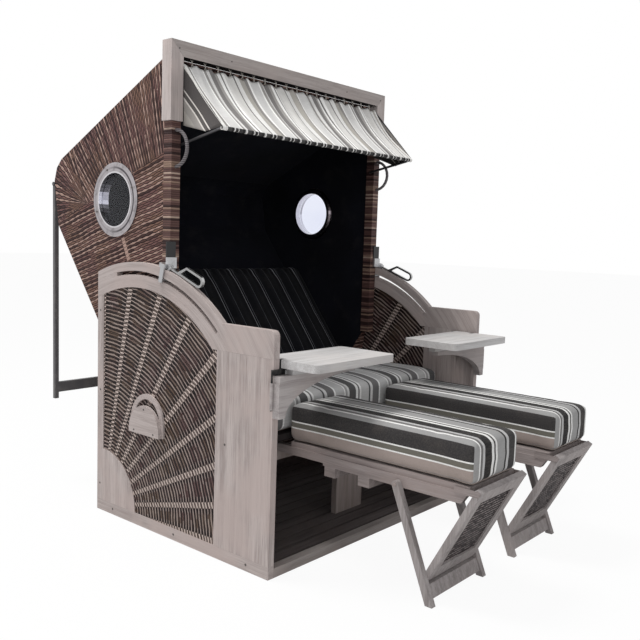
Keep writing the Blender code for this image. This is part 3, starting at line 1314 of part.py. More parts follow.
def cushion(name, size, place, look, turn=(0, 0, 0), channels=0, steps=(10, 8, 4)):
    """A stuffed pad with rounded edges, a crowned top, drawn-in sides and sewn channels."""
    half = [length / 2 for length in size]
    work = bmesh.new()
    bmesh.ops.create_cube(work, size=2)
    for axis in range(3):
        divide(work, axis, steps[axis] - 1)
    rings = [1 - 2 / count for count in steps]
    for vertex in work.verts:
        share = vertex.co.copy()
        point = Vector([pad_coordinate(share[axis], half[axis], rings[axis]) for axis in range(3)])
        core = Vector([max(-(half[axis] - CUSHION_ROUND), min(half[axis] - CUSHION_ROUND, point[axis]))
                       for axis in range(3)])
        over = point - core
        if over.length > GAP:
            reach = max(abs(value) for value in over)
            point = core + over.normalized() * reach
        swell = (1 - share.x ** 2) * (1 - share.y ** 2)
        if share.z > 0:
            point.z += CUSHION_CROWN * swell * share.z
            if channels:
                wave = math.cos(math.pi * share.x * channels)
                point.z -= BACK_CHANNEL * (1 - wave) / 2 * share.z * (1 - share.y ** 4)
        point.x *= 1 - CUSHION_DRAW * (1 - share.y ** 2) / half[0] * abs(share.x)
        point.y *= 1 - CUSHION_DRAW * (1 - share.x ** 2) / half[1] * abs(share.y)
        vertex.co = point
    bmesh.ops.recalc_face_normals(work, faces=work.faces)
    mesh = bpy.data.meshes.new(name)
    work.to_mesh(mesh)
    work.free()
    mesh.shade_smooth()
    piece = bpy.data.objects.new(name, mesh)
    piece.location = place
    piece.rotation_euler = turn
    return keep(piece, look)


def cushions(holder):
    low = SEAT_BOARD_TOP + GAP
    depth = SEAT_CUSHION_BACK - SEAT_CUSHION_FRONT
    height = SEAT_CUSHION_HEIGHT - CUSHION_CROWN
    cushion("seat_cushion", (CUSHION_WIDTH, depth, height),
            (0, (SEAT_CUSHION_FRONT + SEAT_CUSHION_BACK) / 2, low + height / 2), STRIPED, steps=(14, 8, 4))
    width = FOOT_CUSHION_OUTER - FOOT_CUSHION_INNER
    length = FOOT_CUSHION_BACK - FOOT_CUSHION_FRONT
    thick = FOOT_CUSHION_HEIGHT
    for word, side in SIDES:
        centre = (side * (FOOT_CUSHION_OUTER + FOOT_CUSHION_INNER) / 2,
                  (FOOT_CUSHION_FRONT + FOOT_CUSHION_BACK) / 2, DECK_TOP + GAP + thick / 2)
        cushion(f"footrest_cushion_{word}", (width, length, thick), centre, STRIPED, steps=(6, 12, 4))
    section = hood_section()
    waist = Vector(section[-2])
    foot = Vector(section[-1])
    up = (waist - foot).normalized()
    inward = Vector((-up.y, up.x))
    lift = HOOD_SKIN + LINING + 3 * GAP + BACK_CUSHION_HEIGHT / 2
    middle = foot + up * (BACK_CUSHION_START + BACK_CUSHION_LENGTH / 2) + inward * lift
    tilt = math.atan2(up.y, up.x)
    back = cushion("back_cushion", (CUSHION_WIDTH, BACK_CUSHION_LENGTH, BACK_CUSHION_HEIGHT),
                   (0, middle.x, middle.y), STRIPED, turn=(tilt, 0, 0), channels=BACK_CHANNELS,
                   steps=(BACK_CHANNELS * 4, 6, 4))
    ride(back, holder)


def build():
    base()
    hood_pivot = pivot("hood_pivot", (0, PIVOT_Y, PIVOT_Z))
    hood(hood_pivot)
    stand_hinge(hood_pivot)
    for word, side in SIDES:
        lever(word, side, pivot(f"lever_pivot_{word}", (side * HALF, LEVER_PIN_Y, LEVER_PIN_Z), hood_pivot))
        table(word, side)
        table_fitting(word, side)
        bracket(word, side)
        footrest(word, side)
    bow_pivot = pivot("bow_pivot", (0, BOW_POST_Y, BOW_Z), hood_pivot)
    awning_bow(bow_pivot)
    awning(bow_pivot)
    stand(pivot("stand_pivot", (0, STAND_Y, STAND_TOP), hood_pivot))
    cushions(hood_pivot)


build()
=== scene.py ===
"""Looks of the two-seat hooded beach chair: wood, weave, cloth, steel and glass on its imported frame.

Metres, +Z up, in the frame's own axes: X across the seat, Y from the front of the base to its back.
"""

import math
from math import cos, pi, radians, sin

import bmesh
import bpy
from mathutils import Matrix, Vector

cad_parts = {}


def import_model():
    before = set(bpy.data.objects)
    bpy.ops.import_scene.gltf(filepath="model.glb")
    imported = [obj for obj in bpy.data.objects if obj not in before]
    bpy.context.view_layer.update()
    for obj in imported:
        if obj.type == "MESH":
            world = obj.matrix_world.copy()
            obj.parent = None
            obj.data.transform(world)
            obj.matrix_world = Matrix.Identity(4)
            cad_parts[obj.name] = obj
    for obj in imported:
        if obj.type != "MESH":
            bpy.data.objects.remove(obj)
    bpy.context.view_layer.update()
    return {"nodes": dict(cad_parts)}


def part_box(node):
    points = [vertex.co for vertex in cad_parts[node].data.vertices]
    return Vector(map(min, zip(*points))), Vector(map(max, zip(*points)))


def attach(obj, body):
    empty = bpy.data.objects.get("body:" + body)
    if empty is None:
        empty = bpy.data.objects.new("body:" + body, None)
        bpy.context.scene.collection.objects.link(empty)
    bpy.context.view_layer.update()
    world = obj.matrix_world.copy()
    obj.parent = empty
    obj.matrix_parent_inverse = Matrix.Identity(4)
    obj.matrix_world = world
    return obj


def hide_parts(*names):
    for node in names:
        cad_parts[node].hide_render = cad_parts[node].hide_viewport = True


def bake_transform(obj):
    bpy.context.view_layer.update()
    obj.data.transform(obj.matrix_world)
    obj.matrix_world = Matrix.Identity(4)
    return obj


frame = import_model()
NODES = frame["nodes"]
WORDS = ("left", "right")
SIDES = tuple(zip(WORDS, (-1, 1)))

# Camera of the photograph
CAMERA_PLACE = (-2.2294, -1.5543, 1.0214)
CAMERA_YAW = 49.655
CAMERA_PITCH = 5.908
CAMERA_ROLL = 1.951
CAMERA_LENS = 44.04
SENSOR = 36.0

# Weaves: centres of their fans and lines between their fields as Y and Z, angles in degrees, and pitches
HOOD_PIVOT = (0.655, 0.300)
BASE_FAN = (0.857, 0.020)
BASE_RIB_START = 13.7
BASE_RIB_STEP = 10.85
STAKES_PER_RIB = 2
ROW_PITCH = 0.0073
HOOD_FAN = (1.003, 1.122)
HOOD_STRAND_TURN = 3.4
ROOF_FAN = (0.420, 0.570)
ROOF_STRAND_TURN = 0.52
ROOF_LINE = (0.538, 1.295)
ROOF_EDGE = (1.090, 1.320)
SLANT = 17.0
SHELL_STAKE = 0.021
RING_FRONT = 0.5147
WINDING_PITCH = 0.0072
GRIP_BANDS = 520.0
HOOD_STRAND = 0.0078
HOOD_RIB = ((0.779, 1.003), (0.742, 0.924), 0.0095)
HOOD_RIB_PITCH = 0.0125
HOOD_TWIST = 0.019
PANEL_TILT = 28.27

# Wood, steel and screws
ARCH_RADIUS = 0.58
LATCH_PLATE = 0.052
RAIL_UNDERSIDE = 1.5968
BASE_HALF = 0.600
GRIP_FACE = BASE_HALF - 0.003 + 0.0003 + 0.008 + 0.013
PORT_FACE = 0.5723 + 0.006
PORT_HEIGHT = 1.135
PORT_SCREWS = 0.1125

# Hood's shell: the height where its roof meets its back, and the way down each of them, as Y and Z
SHELL_BEND = 1.265
ROOF_WAY = (0.895, 0.446)
BACK_WAY = (0.613, 0.790)

# Gloss of surfaces that are neither metal nor glass
DULL = 0.15

# Cushions; the back one leans on the lining, and its foot and its way up are given as Y and Z
CUSHION_PRESSURE = 4.0
CUSHION_FRAMES = 20
SEAM_TUBE = 0.0028
CLOTH_PITCH = 0.011
BACK_SIZE = (1.060, 0.520, 0.102)
BACK_FOOT = (0.7018, 0.4074)
BACK_UP = (0.6138, 0.7895)
BACK_LINER = 0.0199
BACK_RAISE = 0.012
BACK_CHANNELS = 8
BACK_GATHER = 0.044

# Awning; places are given as Y and Z, and the step of its roll round the bow is in degrees
AWNING_ROWS = 26
AWNING_COLUMNS = 232
ROLL_ROWS = 8
ROLL_STEP = 32
BOW_RADIUS = 0.005
AWNING_SAG = 0.019
LACE_RADIUS = 0.0009
END_START = 0.63
END_HEIGHT = 0.128
AWNING_SHIFT = 2.046
AWNING_FOLDS = 9
AWNING_TOP = (0.520, 1.578)
AWNING_HALF = 0.529
AWNING_ROLL = 0.0068
AWNING_LOW = {"left": (0.3955, 1.352), "right": (0.402, 1.338)}
AWNING_LOW_X = 0.5322
AWNING_REAR = (0.514, 1.379)


def tone(red, green, blue):
    """A linear colour from the values of a picture, 0 to 255."""
    values = [channel / 255 for channel in (red, green, blue)]
    return (*[v / 12.92 if v <= 0.04045 else ((v + 0.055) / 1.055) ** 2.4 for v in values], 1.0)


class Value:
    """An output of a shader tree. Arithmetic and comparisons with it add nodes to that tree."""

    def __init__(self, nodes, socket):
        self.nodes = nodes
        self.socket = socket

    def __rsub__(self, other):
        return self.nodes.math("SUBTRACT", other, self)


def give_sign(method, operation):
    """Lets Python's own sign or function for an operation stand for its node."""
    setattr(Value, method, lambda value, *others: value.nodes.math(operation, value, *others))


for method, operation in (("add", "ADD"), ("sub", "SUBTRACT"), ("mul", "MULTIPLY"), ("truediv", "DIVIDE"),
                          ("mod", "FLOORED_MODULO"), ("pow", "POWER"), ("gt", "GREATER_THAN"),
                          ("lt", "LESS_THAN"), ("abs", "ABSOLUTE"), ("round", "ROUND"), ("floor", "FLOOR")):
    give_sign(f"__{method}__", operation)


class Nodes:
    """Adds nodes to one shader tree; what they are fed is a value, a socket, a number or a tuple."""

    def __init__(self, tree):
        self.tree = tree

    def add(self, kind, **settings):
        node = self.tree.nodes.new(kind)
        for name, value in settings.items():
            setattr(node, name, value)
        return node

    def feed(self, socket, value):
        if isinstance(value, Value):
            value = value.socket
        if isinstance(value, bpy.types.NodeSocket):
            self.tree.links.new(value, socket)
        else:
            socket.default_value = value

    def math(self, operation, *values, clamp=False):
        node = self.add("ShaderNodeMath", operation=operation, use_clamp=clamp)
        for socket, value in zip(node.inputs, values):
            self.feed(socket, value)
        return Value(self, node.outputs[0])

    def step(self, value, low, high, start=0.0, end=1.0):
        """Goes smoothly from start to end as the value goes from low to high."""
        node = self.add("ShaderNodeMapRange", interpolation_type="SMOOTHSTEP")
        for name, number in (("Value", value), ("From Min", low), ("From Max", high),
                             ("To Min", start), ("To Max", end)):
            self.feed(node.inputs[name], number)
        return Value(self, node.outputs["Result"])

    def mix(self, share, first, second):
        """A colour between two others by a share."""
        node = self.add("ShaderNodeMix", data_type="RGBA")
        for index, value in ((0, share), (6, first), (7, second)):
            self.feed(node.inputs[index], value)
        return Value(self, node.outputs[2])

    def noise(self, place, scale, detail=3.0, roughness=0.5):
        node = self.add("ShaderNodeTexNoise")
        self.feed(node.inputs["Vector"], place)
        for name, number in (("Scale", scale), ("Detail", detail), ("Roughness", roughness)):
            self.feed(node.inputs[name], number)
        return Value(self, node.outputs["Fac"])

    def chance(self, first, second=0.0):
        """An even random number from 0 to 1 for each pair of whole numbers."""
        node = self.add("ShaderNodeTexWhiteNoise", noise_dimensions="2D")
        self.feed(node.inputs["Vector"], self.join(first, second, 0.0))
        return Value(self, node.outputs["Value"])

    def split(self, place):
        node = self.add("ShaderNodeSeparateXYZ")
        self.feed(node.inputs[0], place)
        return [Value(self, socket) for socket in node.outputs]

    def join(self, x, y, z):
        node = self.add("ShaderNodeCombineXYZ")
        for socket, value in zip(node.inputs, (x, y, z)):
            self.feed(socket, value)
        return Value(self, node.outputs[0])

    def place(self):
        return self.add("ShaderNodeTexCoord").outputs["Object"]

    def stripes(self):
        """Both coordinates of the UV map that the stripes follow."""
        return self.split(self.add("ShaderNodeUVMap", uv_map="stripes").outputs[0])[:2]

    def ramp(self, value, stops):
        """Colours by position; each stop keeps its colour up to the next."""
        node = self.add("ShaderNodeValToRGB")
        node.color_ramp.interpolation = "CONSTANT"
        points = node.color_ramp.elements
        while len(points) < len(stops):
            points.new(1.0)
        for point, (position, colour) in zip(points, stops):
            point.position = position
            point.color = colour
        self.feed(node.inputs["Fac"], value)
        return node.outputs["Color"]


class Surface(Nodes):
    """The nodes of one material and its Principled shader."""

    def __init__(self, material):
        super().__init__(material.node_tree)
        self.material = material
        self.inputs = material.node_tree.nodes["Principled BSDF"].inputs

    def so_far(self):
        """The colour that a finished material has up to now."""
        return self.inputs["Base Color"].links[0].from_socket

    def paint(self, colour):
        self.feed(self.inputs["Base Color"], colour)

    def roughen(self, roughness):
        self.feed(self.inputs["Roughness"], roughness)

    def bump(self, height, strength, distance):
        node = self.add("ShaderNodeBump")
        node.inputs["Strength"].default_value = strength
        node.inputs["Distance"].default_value = distance
        self.feed(node.inputs["Height"], height)
        self.feed(self.inputs["Normal"], node.outputs["Normal"])


def new_group(name, inputs, outputs):
    """A shader node group with named sockets: its Nodes, its inputs by name and what sets its outputs."""
    tree = bpy.data.node_groups.new(name, "ShaderNodeTree")
    for label, value in inputs.items():
        kind = "Float" if isinstance(value, float) else "Color" if len(value) == 4 else "Vector"
        socket = tree.interface.new_socket(label, in_out="INPUT", socket_type=f"NodeSocket{kind}")
        socket.default_value = value
    for label in outputs:
        kind = "Color" if label == "Colour" else "Float"
        tree.interface.new_socket(label, in_out="OUTPUT", socket_type=f"NodeSocket{kind}")
    entry = tree.nodes.new("NodeGroupInput")
    leave = tree.nodes.new("NodeGroupOutput")
    made = Nodes(tree)

    def finish(**values):
        for label, value in values.items():
            made.feed(leave.inputs[label], value)
        return tree

    given = {label: Value(made, entry.outputs[label]) for label in inputs}
    return made, given, finish


def grain_group():
    """Weathered wood with its grain along the first coordinate of Place."""
    g, given, finish = new_group(
        "weathered_grain",
        {"Place": (0, 0, 0), "Light": tone(190, 180, 174), "Dark": tone(150, 138, 132),
         "Warm": tone(186, 168, 160), "Contrast": 0.6},
        ("Colour", "Roughness", "Height"))
    along, across, through = g.split(given["Place"])
    wander = g.noise(given["Place"], 5.0, 2.0)
    across = across + (wander - 0.5) * 0.012
    fine = g.noise(g.join(along * 9.0, across * 330.0, through * 330.0), 1.0, 4.0, 0.65)
    broad = g.noise(g.join(along * 2.2, across * 52.0, through * 52.0), 1.0, 3.0, 0.55)
    patch = g.noise(given["Place"], 4.3, 3.0, 0.6)
    grain = fine * 0.5 + broad * 0.5
    share = g.step(grain, 0.36, 0.64)
    share = g.math("ADD", (share - 0.5) * given["Contrast"], 0.55, clamp=True)
    colour = g.mix(share, given["Dark"], given["Light"])
    colour = g.mix(g.step(patch, 0.46, 0.66, 0.0, 0.75), colour, given["Warm"])
    pores = g.noise(g.join(along * 26.0, across * 900.0, through * 900.0), 1.0, 2.0, 0.5)
    pore = g.step(pores, 0.66, 0.74)
    colour = g.mix(pore * 0.35, colour, tone(96, 84, 80))
    height = fine * 0.7 - pore * 0.5
    return finish(Colour=colour, Roughness=share * 0.12 + 0.58, Height=height)


def weave_group():
    """Flat strands over and under stakes. Whole Stakes lie on a stake, and whole Rows between strands.
    Painted shade darkens the gaps beside ribs and the strands that lie low.
    """
    g, given, finish = new_group(
        "strand_weave",
        {"Stakes": 0.0, "Rows": 0.0, "Rib": 0.0, "Beside": 0.0, "Pieces": 0.5, "Turns": 0.55, "Streak": 0.6,
         "Strand": tone(98, 76, 74), "Second": tone(104, 90, 78), "Third": tone(56, 40, 40),
         "Light": tone(200, 188, 181), "Shadow": tone(20, 14, 16), "Place": (0, 0, 0)},
        ("Colour", "Height", "Roughness"))
    stakes, rows = given["Stakes"], given["Rows"]
    row = math.floor(rows)
    odd = row % 2.0
    off = abs(rows - row - 0.5)
    turn = (stakes + row) * pi
    over = g.math("COSINE", turn) * 0.5 + 0.5
    reach = over * 0.22 + 0.27
    body = g.step(off - reach, -0.16, 0.03, 1.0, 0.0)
    height = body * (over * 0.65 + 0.35)
    shift = g.chance(row, 5.0) * 9.0
    segment = math.floor(stakes * given["Pieces"] + shift)
    chance = g.chance(row, segment)
    paired = g.mix(given["Turns"], chance, odd)
    patch = g.noise(given["Place"], 7.0, 2.0, 0.5)
    colour = g.mix(g.step(patch, 0.42, 0.60), given["Strand"], given["Second"])
    colour = g.mix(g.step(paired, 0.22, 0.42, 0.9, 0.0), colour, given["Third"])
    colour = g.mix(g.step(paired, 0.58, 0.86) * given["Streak"], colour, given["Light"])
    beside = given["Beside"]
    stroke = beside * odd * 0.7
    colour = g.mix(stroke, colour, g.mix(0.35, given["Light"], given["Strand"]))
    lit = given["Rib"] * g.step(over, 0.26, 0.60)
    colour = g.mix(lit, colour, given["Light"])
    fibre = g.noise(given["Place"], 420.0, 2.0, 0.6)
    colour = g.mix(g.step(fibre, 0.45, 0.8, 0.0, 0.3), colour, given["Third"])
    # Painted shadow in the gaps beside the ribs, where the strands dive under.
    gap = beside * (0.75 - odd * 0.75)
    colour = g.mix(gap, colour, given["Shadow"])
    # Painted shade: strands that lie low are darkened towards the Shadow colour.
    colour = g.mix(g.step(height, 0.06, 0.42, 1.0, 0.0), colour, given["Shadow"])
    height = height - gap * 0.4
    roughness = chance * 0.15 + 0.5
    return finish(Colour=colour, Height=height, Roughness=roughness)


def thread_group():
    """Fine plain-weave threads of cloth, from a place in metres."""
    g, given, finish = new_group(
        "cloth_threads",
        {"Place": (0, 0, 0), "Pitch": 0.0014, "Colour": tone(200, 200, 200), "Wear": 0.3},
        ("Colour", "Height"))
    x, y, z = g.split(given["Place"])
    wave = 0.0
    for coordinate in (x, y + z):
        turn = coordinate / given["Pitch"] * (pi * 2)
        wave = g.math("SINE", turn) * 0.25 + wave
    slub = g.noise(g.join(x * 30.0, y * 300.0, z * 300.0), 1.0, 3.0, 0.6)
    soil = g.noise(given["Place"], 11.0, 3.0, 0.6)
    colour = g.mix(g.step(slub, 0.35, 0.75) * given["Wear"], given["Colour"],
                   g.mix(0.5, given["Colour"], tone(120, 112, 106)))
    colour = g.mix(g.step(soil, 0.5, 0.8, 0.0, 0.25), colour, g.mix(0.6, colour, tone(110, 100, 92)))
    return finish(Colour=colour, Height=wave + slub * 0.8)


GRAIN = grain_group()
WEAVE = weave_group()
THREADS = thread_group()


def place_group(nodes, tree, **values):
    """One copy of a node group, fed with values: its output sockets."""
    node = nodes.add("ShaderNodeGroup", node_tree=tree)
    for label, value in values.items():
        nodes.feed(node.inputs[label.replace("_", " ")], value)
    return node.outputs


def new_material(name, **settings):
    """A new material's Surface, with the plain settings of its shader."""
    made = bpy.data.materials.new(name)
    made.use_nodes = True
    shader = made.node_tree.nodes["Principled BSDF"]
    if "Metallic" not in settings and "Transmission_Weight" not in settings:
        shader.inputs["Specular IOR Level"].default_value = DULL
    for label, value in settings.items():
        shader.inputs[label.replace("_", " ")].default_value = value
    return Surface(made)


def turned_place(nodes, along):
    """The object's place with one axis, or the arch about the hood's pivot, brought to the front."""
    x, y, z = nodes.split(nodes.place())
    if along == "X":
        return nodes.join(x, y, z)
    if along == "Y":
        return nodes.join(y, x, z)
    if along == "Z":
        return nodes.join(z, x, y)
    radius, angle = polar(y, z, HOOD_PIVOT)
    return nodes.join(angle * ARCH_RADIUS, radius, x)


def polar(y, z, centre):
    """Distance and angle in radians about a centre in the YZ plane, from the front upwards."""
    ahead = centre[0] - y
    above = z - centre[1]
    radius = y.nodes.math("SQRT", ahead * ahead + above * above)
    return radius, y.nodes.math("ARCTAN2", above, ahead)


def wood(name, along, colours, contrast=0.7):
    """Weathered boards with their grain along an axis or the arch; colours are light, dark and warm."""
    nodes = new_material(name)
    light, dark, warm = (tone(*colour) for colour in colours)
    out = place_group(nodes, GRAIN, Place=turned_place(nodes, along), Light=light, Dark=dark, Warm=warm,
                      Contrast=contrast)
    nodes.paint(out["Colour"])
    nodes.roughen(out["Roughness"])
    nodes.bump(out["Height"], 0.35, 0.0006)
    return nodes


def rail_finish():
    """Whitewashed top rail, with painted shade on its underside."""
    nodes = wood("hood_top_rail", "X", RAIL_GREY)
    plain = nodes.so_far()
    facing = nodes.add("ShaderNodeNewGeometry").outputs["Normal"]
    # Painted shade on faces that look down.
    below = nodes.step(nodes.split(facing)[2], -0.9, -0.7, 1.0, 0.0)
    nodes.paint(nodes.mix(below, plain, tone(24, 21, 22)))
    return nodes


def finish_weave(nodes, stakes, rows, depth=0.003, **looks):
    """A weave from the numbers of its stakes and rows; looks are inputs of its group."""
    out = place_group(nodes, WEAVE, Stakes=stakes, Rows=rows, Place=nodes.place(), **looks)
    nodes.paint(out["Colour"])
    nodes.roughen(out["Roughness"])
    nodes.bump(out["Height"], 0.8, depth)
    return nodes


# Colours of the weaves
BASE_COLOURS = {
    "Strand": tone(86, 62, 61), "Second": tone(92, 74, 62), "Third": tone(38, 24, 25),
    "Light": tone(198, 182, 174), "Shadow": tone(12, 7, 9),
}
HOOD_COLOURS = {
    "Strand": tone(108, 78, 75), "Second": tone(116, 88, 76), "Third": tone(50, 30, 29),
    "Light": tone(172, 144, 133), "Shadow": tone(24, 12, 13),
}


def base_weave():
    """Strands in arcs about the lower rear corner, crossed by pale ribs with painted shadow in the gaps
    beside them.
    """
    nodes = new_material("base_weave")
    place = nodes.place()
    y, z = nodes.split(place)[1:]
    radius, angle = polar(y, z, BASE_FAN)
    degrees = angle * (180 / pi)
    ribs = (degrees - BASE_RIB_START) / BASE_RIB_STEP
    apart = ribs - round(ribs)
    across = apart * radians(BASE_RIB_STEP) * radius
    half = radius * 0.008 + 0.0055
    beyond = abs(across) - half
    rib = nodes.step(beyond, -0.002, 0.002, 1.0, 0.0)
    far = nodes.step(beyond / radius, 0.022, 0.040, 1.0, 0.0)
    # Beside marks the gaps next to each rib, where the weave paints shadow.
    beside = (1.0 - rib) * far
    rows = radius / ROW_PITCH
    slant = across * rib * 26.0
    waver = (nodes.noise(place, 13.0, 2.0) - 0.5) * 2.2
    rows = rows + slant + waver
    stakes = ribs * float(STAKES_PER_RIB)
    return finish_weave(nodes, stakes, rows, Rib=rib, Beside=beside, Pieces=0.5, Turns=0.6, Streak=0.42,
                        **BASE_COLOURS)


def hood_weave():
    """Twisted strands in three fields: a fan at the waist, steep under the roof and slanting below."""
    nodes = new_material("hood_weave")
    place = nodes.place()
    y, z = nodes.split(place)[1:]
    fan_radius, fan_angle = polar(y, z, HOOD_FAN)
    roof_radius, roof_angle = polar(y, z, ROOF_FAN)
    fan_rows = fan_angle * (180 / pi) / HOOD_STRAND_TURN
    roof_rows = roof_angle * (180 / pi) / ROOF_STRAND_TURN
    lean = radians(SLANT)
    level = z * cos(lean)
    slant_across = y * sin(lean) + level
    slant_along = z * sin(lean) - y * cos(lean)
    slant_rows = slant_across / HOOD_STRAND
    above = side_of(y, z, HOOD_FAN, ROOF_LINE)
    behind = side_of(y, z, HOOD_FAN, ROOF_EDGE)
    high = slant_across > (HOOD_FAN[0] * sin(lean) + HOOD_FAN[1] * cos(lean))
    fan = behind * high
    rows = choose(fan, choose(above, slant_rows, roof_rows), fan_rows)
    along = choose(fan, choose(above, slant_along, roof_radius), fan_radius)
    waver = (nodes.noise(place, 9.0, 2.0) - 0.5) * 1.6
    rows = rows + waver
    twists = along / HOOD_TWIST
    rib, rib_along = near_line(y, z, *HOOD_RIB)
    rib_rows = rib_along / HOOD_RIB_PITCH
    rows = choose(rib, rows, rib_rows)
    twists = choose(rib, twists, math.floor(rib_rows) * -1.0)
    return finish_weave(nodes, twists, rows, Rib=rib, Pieces=0.11, Turns=0.4, Streak=0.85,
                        **HOOD_COLOURS)


def side_of(y, z, start, end):
    """1 where a place lies to the left of the line from start to end, with Y to the right."""
    across = (z - start[1]) * (end[0] - start[0])
    along = (y - start[0]) * (end[1] - start[1])
    return across - along < 0.0


def near_line(y, z, start, end, half):
    """A mask, full within this half width of a short line on the side, and the distance along that line."""
    run = Vector(end) - Vector(start)
    way = run.normalized()
    ahead, up = y - start[0], z - start[1]
    along = ahead * way.x + up * way.y
    across = ahead * way.y - up * way.x
    beyond = abs(along - (run.length / 2))
    within = y.nodes.step(abs(across), half - 0.001, half + 0.001, 1.0, 0.0)
    return within * (beyond < (run.length / 2)), along


def choose(share, first, second):
    """A number between two others by a share."""
    node = share.nodes.add("ShaderNodeMix", data_type="FLOAT")
    for index, value in ((0, share), (2, first), (3, second)):
        share.nodes.feed(node.inputs[index], value)
    return Value(share.nodes, node.outputs[0])


def shell_weave():
    """Roof and back of the hood: stakes down the slope, strands across."""
    nodes = new_material("shell_weave")
    x, y, z = nodes.split(nodes.place())
    roof = y * ROOF_WAY[0] - z * ROOF_WAY[1]
    back = y * BACK_WAY[0] + z * BACK_WAY[1]
    rows = choose(z > SHELL_BEND, back, roof) / HOOD_STRAND
    stakes = x / SHELL_STAKE
    sixth = stakes / 6.0
    apart = abs(sixth - round(sixth))
    rib = nodes.step(apart, 0.06, 0.10, 0.9, 0.0)
    return finish_weave(nodes, stakes, rows, Rib=rib, Pieces=0.2, Turns=0.45, **HOOD_COLOURS)


def post_weave():
    """Strands wound round the hood's posts, with painted shade between the turns, and the dark winding of
    the grab rings in front of them.
    """
    nodes = new_material("post_winding")
    x, y, z = nodes.split(nodes.place())
    turns = z / WINDING_PITCH
    band = math.floor(turns)
    colour = stripe_ramp(nodes.chance(band, 2.0), WINDING_SHARES)
    side = abs(nodes.math("FRACT", turns) - 0.5)
    height = 1.0 - (side * 2.0) ** 3.0
    fibre = nodes.noise(nodes.join(x * 40.0, y * 40.0, z * 700.0), 1.0, 3.0, 0.6)
    colour = nodes.mix(nodes.step(fibre, 0.45, 0.8, 0.0, 0.5), colour, tone(54, 38, 38))
    # Painted shade in the grooves between the turns.
    colour = nodes.mix(nodes.step(height, 0.1, 0.6, 0.85, 0.0), colour, tone(32, 22, 24))
    ring = y < RING_FRONT
    bands = nodes.step(abs(nodes.math("SINE", z * GRIP_BANDS)), 0.2, 0.8)
    grip = nodes.mix(bands, tone(56, 54, 57), tone(128, 123, 125))
    nodes.paint(nodes.mix(ring, colour, grip))
    nodes.roughen(0.55)
    nodes.bump(height, 0.8, 0.0015)
    return nodes


def panel_weave(name, rise, stake_pitch, row_pitch, **looks):
    """A plain weave on a flat panel, with its rows along X."""
    nodes = new_material(name)
    place = nodes.split(nodes.place())
    stakes = place[0] / stake_pitch
    rows = place[2] * rise / row_pitch
    return finish_weave(nodes, stakes, rows, **looks)


def steel(name, colour, rough, brushed=0.0, grime=0.25):
    """Bare metal with dull clouds and fine brushed lines."""
    nodes = new_material(name, Metallic=1.0)
    place = nodes.place()
    cloud = nodes.noise(place, 38.0, 4.0, 0.6)
    x, y, z = nodes.split(place)
    lines = nodes.noise(nodes.join(x * 900.0, y * 60.0, z * 900.0), 1.0, 2.0, 0.5)
    dull = nodes.mix(nodes.step(cloud, 0.45, 0.75, 0.0, grime), colour, tone(92, 88, 84))
    nodes.paint(dull)
    spread = cloud * 0.16 + (rough - 0.08)
    nodes.roughen(spread + lines * (brushed * 0.2))
    nodes.bump(cloud + lines * brushed, 0.12, 0.0004)
    return nodes


def latch_finish():
    """Bright strap and cap, and the black plate above the cap."""
    nodes = steel("latch_steel", tone(196, 196, 198), 0.30, 0.6)
    plain = nodes.so_far()
    y, z = nodes.split(nodes.place())[1:]
    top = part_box("latch_bracket_left")[1][2]
    plate = (z > top - LATCH_PLATE) * (y > 0.5)
    nodes.paint(nodes.mix(plate, plain, tone(28, 28, 30)))
    nodes.feed(nodes.inputs["Metallic"], 1.0 - plate)
    return nodes


def ring_finish():
    """Polished flange with a painted dark reflection in its turned groove, strongest in front, and a painted
    highlight on its inner lip.
    """
    nodes = steel("porthole_steel", tone(172, 167, 170), 0.18, 0.2, 0.5)
    plain = nodes.so_far()
    x, y, z = nodes.split(nodes.place())
    boxes = [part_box(f"porthole_ring_{word}") for word in WORDS]
    middles = [(low[1] + high[1]) / 2 for low, high in boxes]
    outer = (boxes[0][1][2] - boxes[0][0][2]) / 2
    ahead = y - choose(x > 0.0, middles[0], middles[1])
    share = polar(ahead, z, (0.0, boxes[0][0][2] + outer))[0] / outer
    # Painted reflection: the groove is darkened, most on the front side.
    groove = nodes.step(abs(share - 0.86), 0.010, 0.040, 1.0, 0.0)
    front = nodes.step(ahead / outer, -0.4, 0.3, 0.9, 0.2)
    colour = nodes.mix(groove * front, plain, tone(58, 54, 58))
    # Painted highlight on the inner lip.
    lip = nodes.step(share, 0.74, 0.77, 0.7, 0.0)
    nodes.paint(nodes.mix(lip, colour, tone(228, 226, 230)))
    return nodes


def coat(name, colour, rough):
    """A coloured coat on metal, a little dusty and worn."""
    nodes = new_material(name)
    place = nodes.place()
    cloud = nodes.noise(place, 24.0, 4.0, 0.6)
    fleck = nodes.noise(place, 260.0, 2.0, 0.5)
    tinted = nodes.mix(nodes.step(cloud, 0.4, 0.75, 0.0, 0.45), colour,
                       nodes.mix(0.5, colour, tone(150, 146, 140)))
    nodes.paint(nodes.mix(nodes.step(fleck, 0.68, 0.8, 0.0, 0.4), tinted, tone(40, 40, 42)))
    nodes.roughen(cloud * 0.2 + (rough - 0.1))
    nodes.bump(fleck, 0.15, 0.0004)
    return nodes


def pane(name):
    """Clear glass with a faint blue tint."""
    nodes = new_material(name, Roughness=0.0, IOR=1.2, Transmission_Weight=1.0)
    cloud = nodes.noise(nodes.place(), 5.0, 2.0, 0.5)
    nodes.paint(nodes.mix(nodes.step(cloud, 0.4, 0.8, 0.0, 0.5), tone(236, 239, 252), tone(222, 227, 246)))
    return nodes


